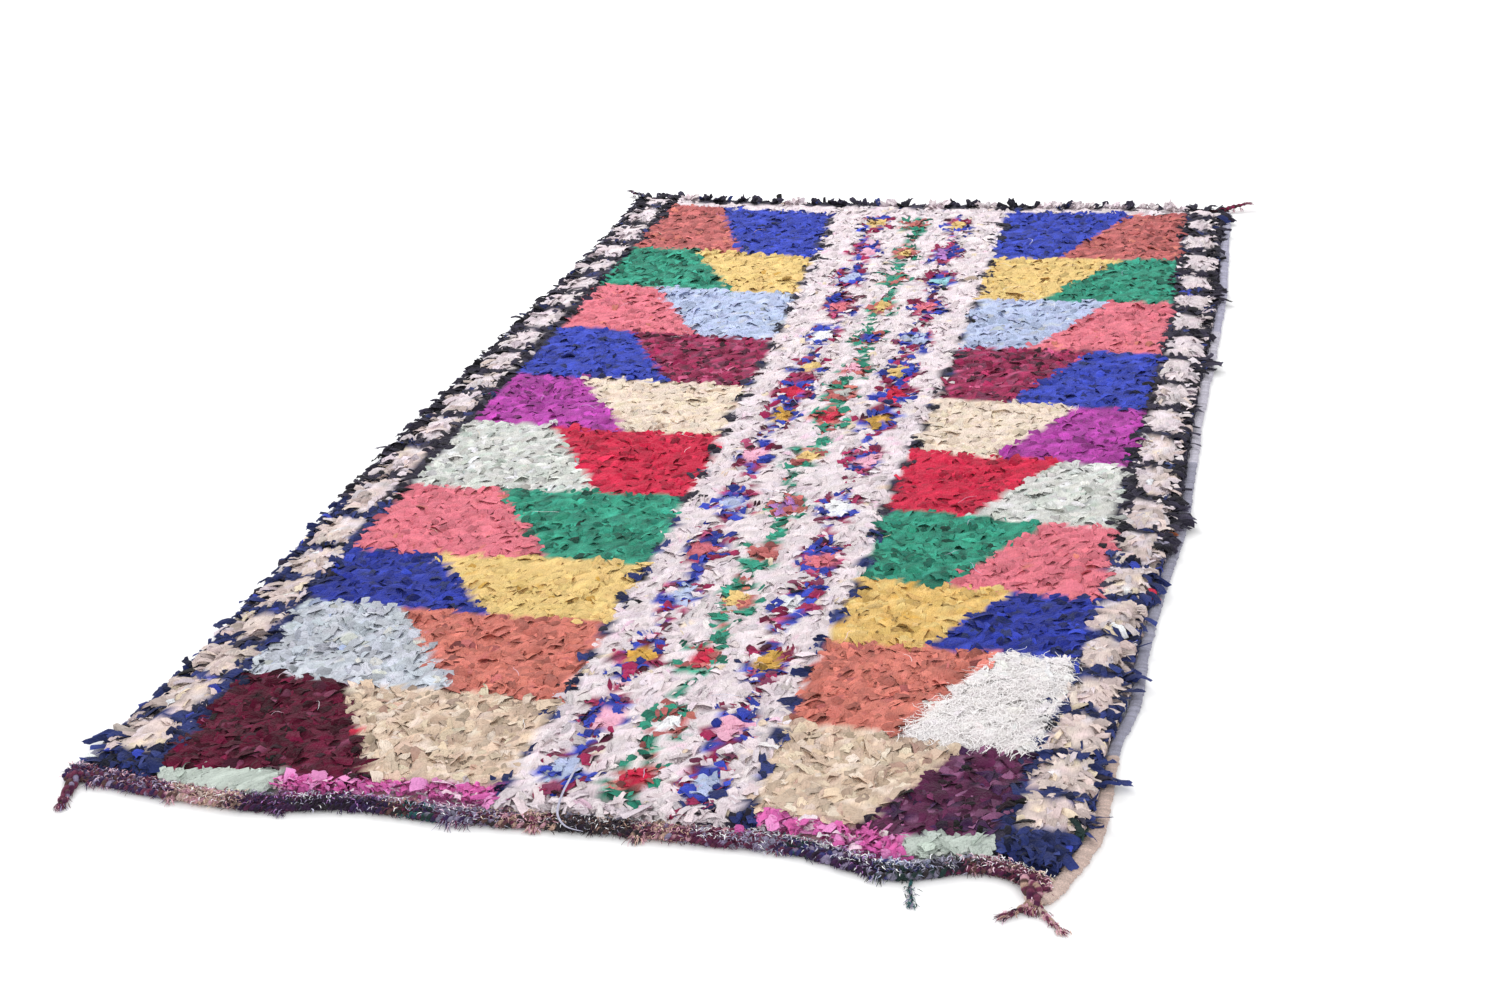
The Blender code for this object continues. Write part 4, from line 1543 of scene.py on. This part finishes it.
def make_selvedge(side, material, chance):
    """A flat cord wrapped over and over with yarn, along one side of the ground."""
    outward = OUTWARD[side]
    corner = ENDS[0] if side == "left" else ENDS[-1]
    y = np.linspace(corner.far - SELVEDGE_STOP, corner.near + SELVEDGE_STOP, SELVEDGE_STATIONS)
    x = side_x(y, side) + outward * SELVEDGE_OUT
    course = np.stack((x, y), axis=-1)
    if side == "right":
        course = np.concatenate((course[:-2], SELVEDGE_TURN))
    path = smooth_path(course, WRAP_PITCH / RINGS_PER_WRAP)
    rings = len(path)
    swing = wander(run_along(path), *SELVEDGE_SWAY, chance)
    path = path + outward * np.stack((swing, np.zeros(rings)), axis=-1)
    wrap = np.arange(rings) // RINGS_PER_WRAP
    wraps = wrap[-1]
    run = run_along(path)
    along, across, _ = directions(np.concatenate((path, np.zeros((rings, 1))), axis=1))
    y = path[:, 1]
    size = 1 + WRAP_SPREAD * chance.normal(0, 1, wraps + 1)[wrap] + wander(run, *SELVEDGE_SWELLS, chance)
    size = size * (1 - WRAP_SWELL * (np.arange(rings) % RINGS_PER_WRAP == 0))
    size = size * np.interp(y, SWELL_AT, (CORNER_SWELL, 1, 1, FAR_SELVEDGE))
    size[[0, -1]] *= SELVEDGE_TIP
    angle = np.linspace(-math.pi / 2, 1.5 * math.pi, SELVEDGE_SIDES, endpoint=False)[None, :, None]
    half = SELVEDGE_HALF * size[:, None, None]
    points = across[:, None] * half * np.cos(angle) + along[:, None] * WRAP_SLANT * np.cos(angle)
    points[..., :2] += path[:, None]
    points[..., 2] = np.maximum(SELVEDGE_HIGH * (1 + size[:, None] * np.sin(angle[..., 0])), LOWEST)
    wrappings = LEFT_WRAPPINGS if side == "left" else RIGHT_WRAPPINGS
    reached = np.searchsorted([w.y_from for w in wrappings], y + wander(run, *WRAPPING_SWAY, chance)) - 1
    tint = LINEAR[np.array([CLOTH[w.cloth] for w in wrappings])[reached]]
    by_wrap = WRAP_DYE * chance.normal(0, 1, (wraps + 1, 1))[wrap]
    tint = tint * (1 + by_wrap + RING_DYE * chance.normal(0, 1, (rings, 1)))
    piece = tubes_object(f"selvedge_wraps_{side}", [(points, np.clip(tint, 0, 1))], material)
    return place(piece, "selvedge_yarn", f"selvedge_{side}")


def braid_path(end, cord, step, chance):
    """The middle of one cord along an end of the ground."""
    left = side_x(np.array([end_y(ENDS[0].x, end)]), "left")[0] - BRAID_OVERRUN
    right = side_x(np.array([end_y(ENDS[-1].x, end)]), "right")[0] + (BRAID_OVERRUN if end == "far" else 0)
    x = np.arange(left, right, step)
    swing = wander(x, *BRAID_SWAY, chance)
    y = end_y(x, end) + OUTWARD[end] * (cord.out + swing)
    z = cord.radius * (PLY_OUT + PLY_RADIUS) + cord.lift + abs(wander(x, *BRAID_RISE, chance))
    return np.stack((x, y, z), axis=-1)


def braid_plies(twining, chance):
    """Tubes of both plies of every cord of a braid."""
    tubes = []
    for cord in twining.cords:
        path = braid_path(twining.end, cord, twining.step, chance)
        run = run_along(path)
        _, across, up = directions(path)
        size = 1 + wander(run, *CORD_SWELLS, chance)
        turn = 2 * math.pi * run / cord.pitch + wander(run, *CORD_TURNS, chance)
        for ply in range(2):
            phase = (turn + math.pi * ply)[:, None]
            reach = (cord.radius * PLY_OUT * size)[:, None]
            middle = path + reach * (across * np.cos(phase) + up * np.sin(phase))
            thick = cord.radius * PLY_RADIUS * size * (1 + wander(run, *PLY_SWELLS, chance))
            stretch = abs(cord.pitch) * DYED_LENGTH
            tint = yarn_tint(path[:, 0], run, twining.yarns, cord.part, stretch, chance)
            tubes.append((tube(middle, thick, twining.sides), tint))
    return tubes


def fibres(name, paths, width, tint, material, chance):
    """One mesh of fine flat fibres along these paths, given as fibre, station and xyz."""
    along = np.gradient(paths, axis=1)
    level = np.stack((-along[..., 1], along[..., 0], np.zeros(along.shape[:2])), axis=-1)
    level += 1e-9
    level /= np.linalg.norm(level, axis=-1, keepdims=True)
    taper = np.interp(np.linspace(0, 1, paths.shape[1]), FIBRE_TAPER_AT, FIBRE_TAPER)
    half = 0.5 * width[:, None] * taper[None, :]
    points = paths[:, :, None, :] + level[:, :, None, :] * half[..., None, None] * np.array((-1, 1))[:, None]
    points[..., 2] = np.maximum(points[..., 2], LOWEST_FIBRE)
    length = np.linalg.norm(np.diff(paths, axis=1), axis=-1).sum(axis=1)
    return ribbons(name, points, width, length, tint, material, chance)


def curls(start, heading, length, rise, curl, chance, stations=FIBRE_STATIONS):
    """Paths of fibres that leave the start, rise and sink again, and swing to one side."""
    t = np.linspace(0, 1, stations)[None, :]
    bend = heading[:, None] + curl * chance.normal(0, 1, (len(heading), 1)) * t
    bend = bend + CURL_SWING * curl * np.sin(CURL_WAVE * t + CURL_START * chance.random((len(heading), 1)))
    step = length[:, None] / (stations - 1)
    path = np.zeros((len(heading), stations, 3))
    path[:, 1:, 0] = np.cumsum(np.cos(bend[:, 1:]) * step, axis=1)
    path[:, 1:, 1] = np.cumsum(np.sin(bend[:, 1:]) * step, axis=1)
    path[..., 2] = rise[:, None] * np.sin(math.pi * t)
    return path + start[:, None, :]


def braid_flecks(twining, chance):
    """Short curled fibres all over a braid."""
    end, cords = twining.end, twining.cords
    path = braid_path(end, cords[0], twining.step, chance)
    n = int(FLECKS_PER_METRE * twining.fibres * (path[-1, 0] - path[0, 0]))
    x = chance.uniform(path[0, 0], path[-1, 0], n)
    out = chance.uniform(0, cords[-1].out + cords[-1].radius, n)
    tall = np.interp(out, [c.out for c in cords], [2 * c.radius + c.lift for c in cords])
    edge = np.clip((cords[-1].out + cords[-1].radius - out) / cords[-1].radius, 0, 1)
    z = tall * np.sqrt(edge) * chance.uniform(*FLECK_LEVEL, n)
    start = np.stack((x, end_y(x, end) + OUTWARD[end] * out, z), axis=-1)
    length = chance.uniform(*FLECK_LENGTH, n)
    rise = FLECK_RISE * chance.uniform(*FIBRE_RISES, n)
    paths = curls(start, chance.uniform(0, 2 * math.pi, n), length, rise, FLECK_CURL, chance)
    pale = (out < cords[0].out * PALE_TO) | (chance.random(n) < PALE_FLECKS)
    tint = shaded(LINEAR[mixed_yarns(x, twining.yarns, pale, chance)], n, FLECK_DYE, chance)
    return paths, chance.uniform(*FLECK_WIDTH, n), tint


def brush(start, heading, length, count, spread, rows, chance, sinking=BRUSH_SINKS):
    """Fibres of a frayed end or nub, which fan out from one place and sink to the floor."""
    aim = heading + spread * chance.normal(0, 1, count)
    long = length * chance.uniform(*BRUSH_LENGTH, count)
    places = np.asarray(start, float) + BRUSH_BLUR * chance.normal(0, 1, (count, 3)) * BRUSH_FLATTER
    paths = curls(places, aim, long, BRUSH_RISE * chance.random(count), BRUSH_CURL, chance)
    sink = np.linspace(0, 1, FIBRE_STATIONS)[None, :]
    paths[..., 2] = paths[..., 2] * (1 - sinking * sink) + BRUSH_LEVEL
    flecked = chance.random(count) < BRUSH_FLECKS
    tint = shaded(LINEAR[mixed_yarns(places[:, 0], rows, flecked, chance)], count, YARN_DYE, chance)
    return paths, chance.uniform(*BRUSH_WIDTH, count), tint


def edge_fibres(rows, chance):
    """Fibres that stand out all along the near braid's outer edge."""
    n = EDGE_FIBRES
    outward = OUTWARD["near"]
    x = chance.uniform(ENDS[0].x, ENDS[-1].x, n)
    start = np.stack((x, end_y(x, "near") + outward * EDGE_OUT, chance.uniform(*EDGE_HEIGHT, n)), axis=-1)
    aim = outward * math.pi / 2 + EDGE_TURN * chance.normal(0, 1, n)
    paths = curls(start, aim, EDGE_LENGTH * chance.uniform(*EDGE_LENGTHS, n), np.zeros(n), EDGE_CURL, chance)
    tint = LINEAR[yarn_numbers(x, rows, "body", chance)]
    return paths, chance.uniform(*EDGE_WIDTH, n), tint


def joined(groups):
    return [np.concatenate(parts) for parts in zip(*groups)]


def nub_brushes(nub, rows, chance):
    """The brushes of one nub of loose yarn, each a little off the others."""
    groups = []
    for _ in range(BRUSHES_PER_NUB):
        x = nub.x + NUB_BLUR * chance.normal()
        start = (x, end_y(x, "near") - NEAR_CORDS[-1].out, NUB_LEVEL)
        aim = -math.pi / 2 + NUB_TURN * chance.normal()
        long = nub.length * chance.uniform(*NUB_LENGTH)
        groups.append(brush(start, aim, long, nub.count // BRUSHES_PER_NUB, NUB_SPREAD, rows, chance))
    return groups


def make_braids(yarn, thread, chance):
    """Both twined ends, with the fibres that stand off them."""
    pieces = []
    for twining in TWININGS:
        end = twining.end
        plies = tubes_object(f"{end}_braid", braid_plies(twining, chance), yarn)
        groups = [braid_flecks(twining, chance)]
        if end == "near":
            for nub in NUBS:
                groups += nub_brushes(nub, twining.yarns, chance)
                groups.append(edge_fibres(twining.yarns, chance))
        flecks = fibres(f"{end}_flecks", *joined(groups), thread, chance)
        pieces += [place(piece, "twined_yarn", f"end_braid_{end}") for piece in (plies, flecks)]
    return pieces


def plait(tail, chance):
    """Three strands plaited along a tail's course."""
    course = np.array([(*point, 0) for point in tail.course])
    path = smooth_path(course, TAIL_STEP)
    run = run_along(path)
    share = run / run[-1]
    taper = np.interp(share, TAIL_TAPER_AT, TAIL_TAPER)
    first = np.interp(share, (0, TAIL_START_TO), (TAIL_START, 0))
    path[:, 2] = tail.width * TAIL_LEVEL * taper + first + tail.rise * share
    _, across, up = directions(path)
    tubes = []
    for strand in range(3):
        turn = 2 * math.pi * (run / (PLAIT_PITCH * tail.width) + strand / 3)
        swing = (STRAND_SWING * tail.width * taper * np.sin(turn))[:, None]
        bob = (STRAND_BOB * tail.width * taper * np.sin(2 * turn))[:, None]
        thick = STRAND_RADIUS * tail.width * taper * (1 + wander(run, *STRAND_SWELLS, chance))
        tint = yarn_tint(path[:, 0], run, tail.yarns, "body", TAIL_DYED, chance)
        tubes.append((tube(path + across * swing + up * bob, thick, PLY_SIDES), tint))
    return tubes


def tail_brushes(tail, chance):
    """The frayed tip of a tail and the wisps along it."""
    last, before = np.array(tail.course[-1]), np.array(tail.course[-2])
    aim = math.atan2(*(last - before)[::-1])
    start = (*last, tail.width * FRAY_LEVEL + tail.rise)
    count = round(FRAY_FIBRES * tail.width / TAILS[0].width)
    sinking = RAISED_SINKS if tail.rise else BRUSH_SINKS
    groups = [brush(start, aim, tail.fray, count, FRAY_SPREAD, tail.yarns, chance, sinking)]
    for at in tail.course[1:-1]:
        start = (*at, tail.width * WISP_LEVEL)
        groups.append(brush(start, aim, WISP_LENGTH, WISP_FIBRES, WISP_SPREAD, tail.yarns, chance))
    return groups


def make_tails(yarn, thread, chance):
    """Plaited tails at the corners and one thin tassel, each with a frayed tip."""
    pieces = []
    for name, node in TAIL_NODES.items():
        tails = [tail for tail in TAILS if tail.piece == name]
        plaits = [strand for tail in tails for strand in plait(tail, chance)]
        groups = [group for tail in tails for group in tail_brushes(tail, chance)]
        strands = tubes_object(name, plaits, yarn)
        fray = fibres(f"{name}_fray", *joined(groups), thread, chance)
        pieces += [place(piece, "twined_yarn", node) for piece in (strands, fray)]
    return pieces


def make_fluff(thread, chance):
    """The woolly fibres of the ivory patch."""
    x = chance.uniform(*FLUFF_ACROSS, FLUFF_FIBRES * FLUFF_TRIES)
    y = chance.uniform(*FLUFF_ALONG, FLUFF_FIBRES * FLUFF_TRIES)
    inside = pattern(x, y, chance) == CLOTH["ivory"]
    x, y = x[inside][:FLUFF_FIBRES], y[inside][:FLUFF_FIBRES]
    n = len(x)
    start = np.stack((x, y, top_heights(x, y) * chance.uniform(*FLUFF_LEVEL, n)), axis=-1)
    heading = -math.pi / 2 + FLUFF_TURN * chance.normal(0, 1, n)
    rise = FLUFF_RISE * chance.uniform(*FLUFF_RISES, n)
    paths = curls(start, heading, chance.uniform(*FLUFF_LENGTH, n), rise, FLUFF_CURL, chance)
    tint = shaded(LINEAR[CLOTH["ivory"]], n, FLUFF_DYE, chance)
    fluff = fibres("ivory_fluff", paths, chance.uniform(*FLUFF_WIDTH, n), tint, thread, chance)
    return place(fluff, "rag_pile", "rug")


def make_threads(thread, rag, chance):
    """Loose threads here and there on the pile, and one long strip over the near braid."""
    n = THREAD_COUNT
    x = chance.uniform(*THREADS_ACROSS, n)
    y = chance.uniform(*THREADS_ALONG, n)
    start = np.stack((x, y, top_heights(x, y) + THREAD_LEVEL), axis=-1)
    heading = chance.uniform(0, 2 * math.pi, n)
    length = chance.uniform(*THREAD_LENGTH, n)
    paths = curls(start, heading, length, THREAD_RISE * np.ones(n), 1.0, chance, THREAD_STATIONS)
    names = THREAD_CLOTHS.split()
    tint = np.array([LINEAR[CLOTH[names[k % len(names)]]] for k in range(n)])
    threads = fibres("loose_threads", paths, chance.uniform(*THREAD_WIDTH, n), tint, thread, chance)
    long = smooth_path(STRAY_STRIP, STRAY_STRIP_STEP)[None]
    colour = LINEAR[CLOTH["lilac"]][None]
    strip = fibres("stray_strip", long, np.array([STRAY_STRIP_WIDTH]), colour, rag, chance)
    return [place(piece, "rag_pile", "rug") for piece in (threads, strip)]


def make_camera():
    camera = link(bpy.data.objects.new("camera", bpy.data.cameras.new("camera")))
    camera.location = CAMERA_AT
    camera.rotation_euler = CAMERA_TURN
    camera.data.lens = LENS_MM
    camera.data.sensor_width = SENSOR_MM
    bpy.context.scene.camera = camera


def make_studio():
    """A pale floor and soft, even light from all round."""
    material = bpy.data.materials.new("floor")
    material.use_nodes = True
    tree = material.node_tree
    look = {"Base Color": FLOOR_COLOUR, "Roughness": 0.8, "Specular IOR Level": 0.1}
    feed(tree, tree.nodes["Principled BSDF"], look)
    corners = ((-1, -1), (1, -1), (1, 1), (-1, 1))
    points = [(FLOOR_HALF * x, FLOOR_HALF * y, FLOOR_LEVEL) for x, y in corners]
    floor = mesh_object("floor", points, [(0, 1, 2, 3)], material)

    world = bpy.data.worlds.new("studio")
    bpy.context.scene.world = world
    world.use_nodes = True
    background = world.node_tree.nodes["Background"]
    feed(world.node_tree, background, {"Color": (1.0, 1.0, 1.0, 1), "Strength": 1.0})

    for lamp in LAMPS:
        light = bpy.data.lights.new(lamp.name, "AREA")
        light.size = lamp.size
        light.energy = lamp.watts
        obj = link(bpy.data.objects.new(lamp.name, light))
        obj.location = lamp.place
        obj.rotation_euler = (-Vector(lamp.place)).to_track_quat("-Z", "Y").to_euler()
    bpy.context.scene.view_settings.view_transform = "Standard"


def main():
    make_camera()
    chance = np.random.default_rng(20)
    pile = make_pile(chance)
    ground = make_ground(chance)
    wrapping = yarn_material("wrapping_yarn", roughness=0.85, sheen=0.2, across=0.001, along=900, bump=0.5)
    yarn = yarn_material("twined_yarn", roughness=0.92, sheen=0.08, across=480, along=240, bump=0.8)
    thread = yarn_material("fine_yarn", roughness=0.9, sheen=0.08, across=300, along=60, bump=0.2)
    others = [make_selvedge(side, wrapping, chance) for side in ("left", "right")]
    others += make_braids(yarn, thread, chance)
    others += make_tails(yarn, thread, chance)
    others.append(make_fluff(thread, chance))
    others += make_threads(thread, pile[0].data.materials[0], chance)
    make_studio()


main()
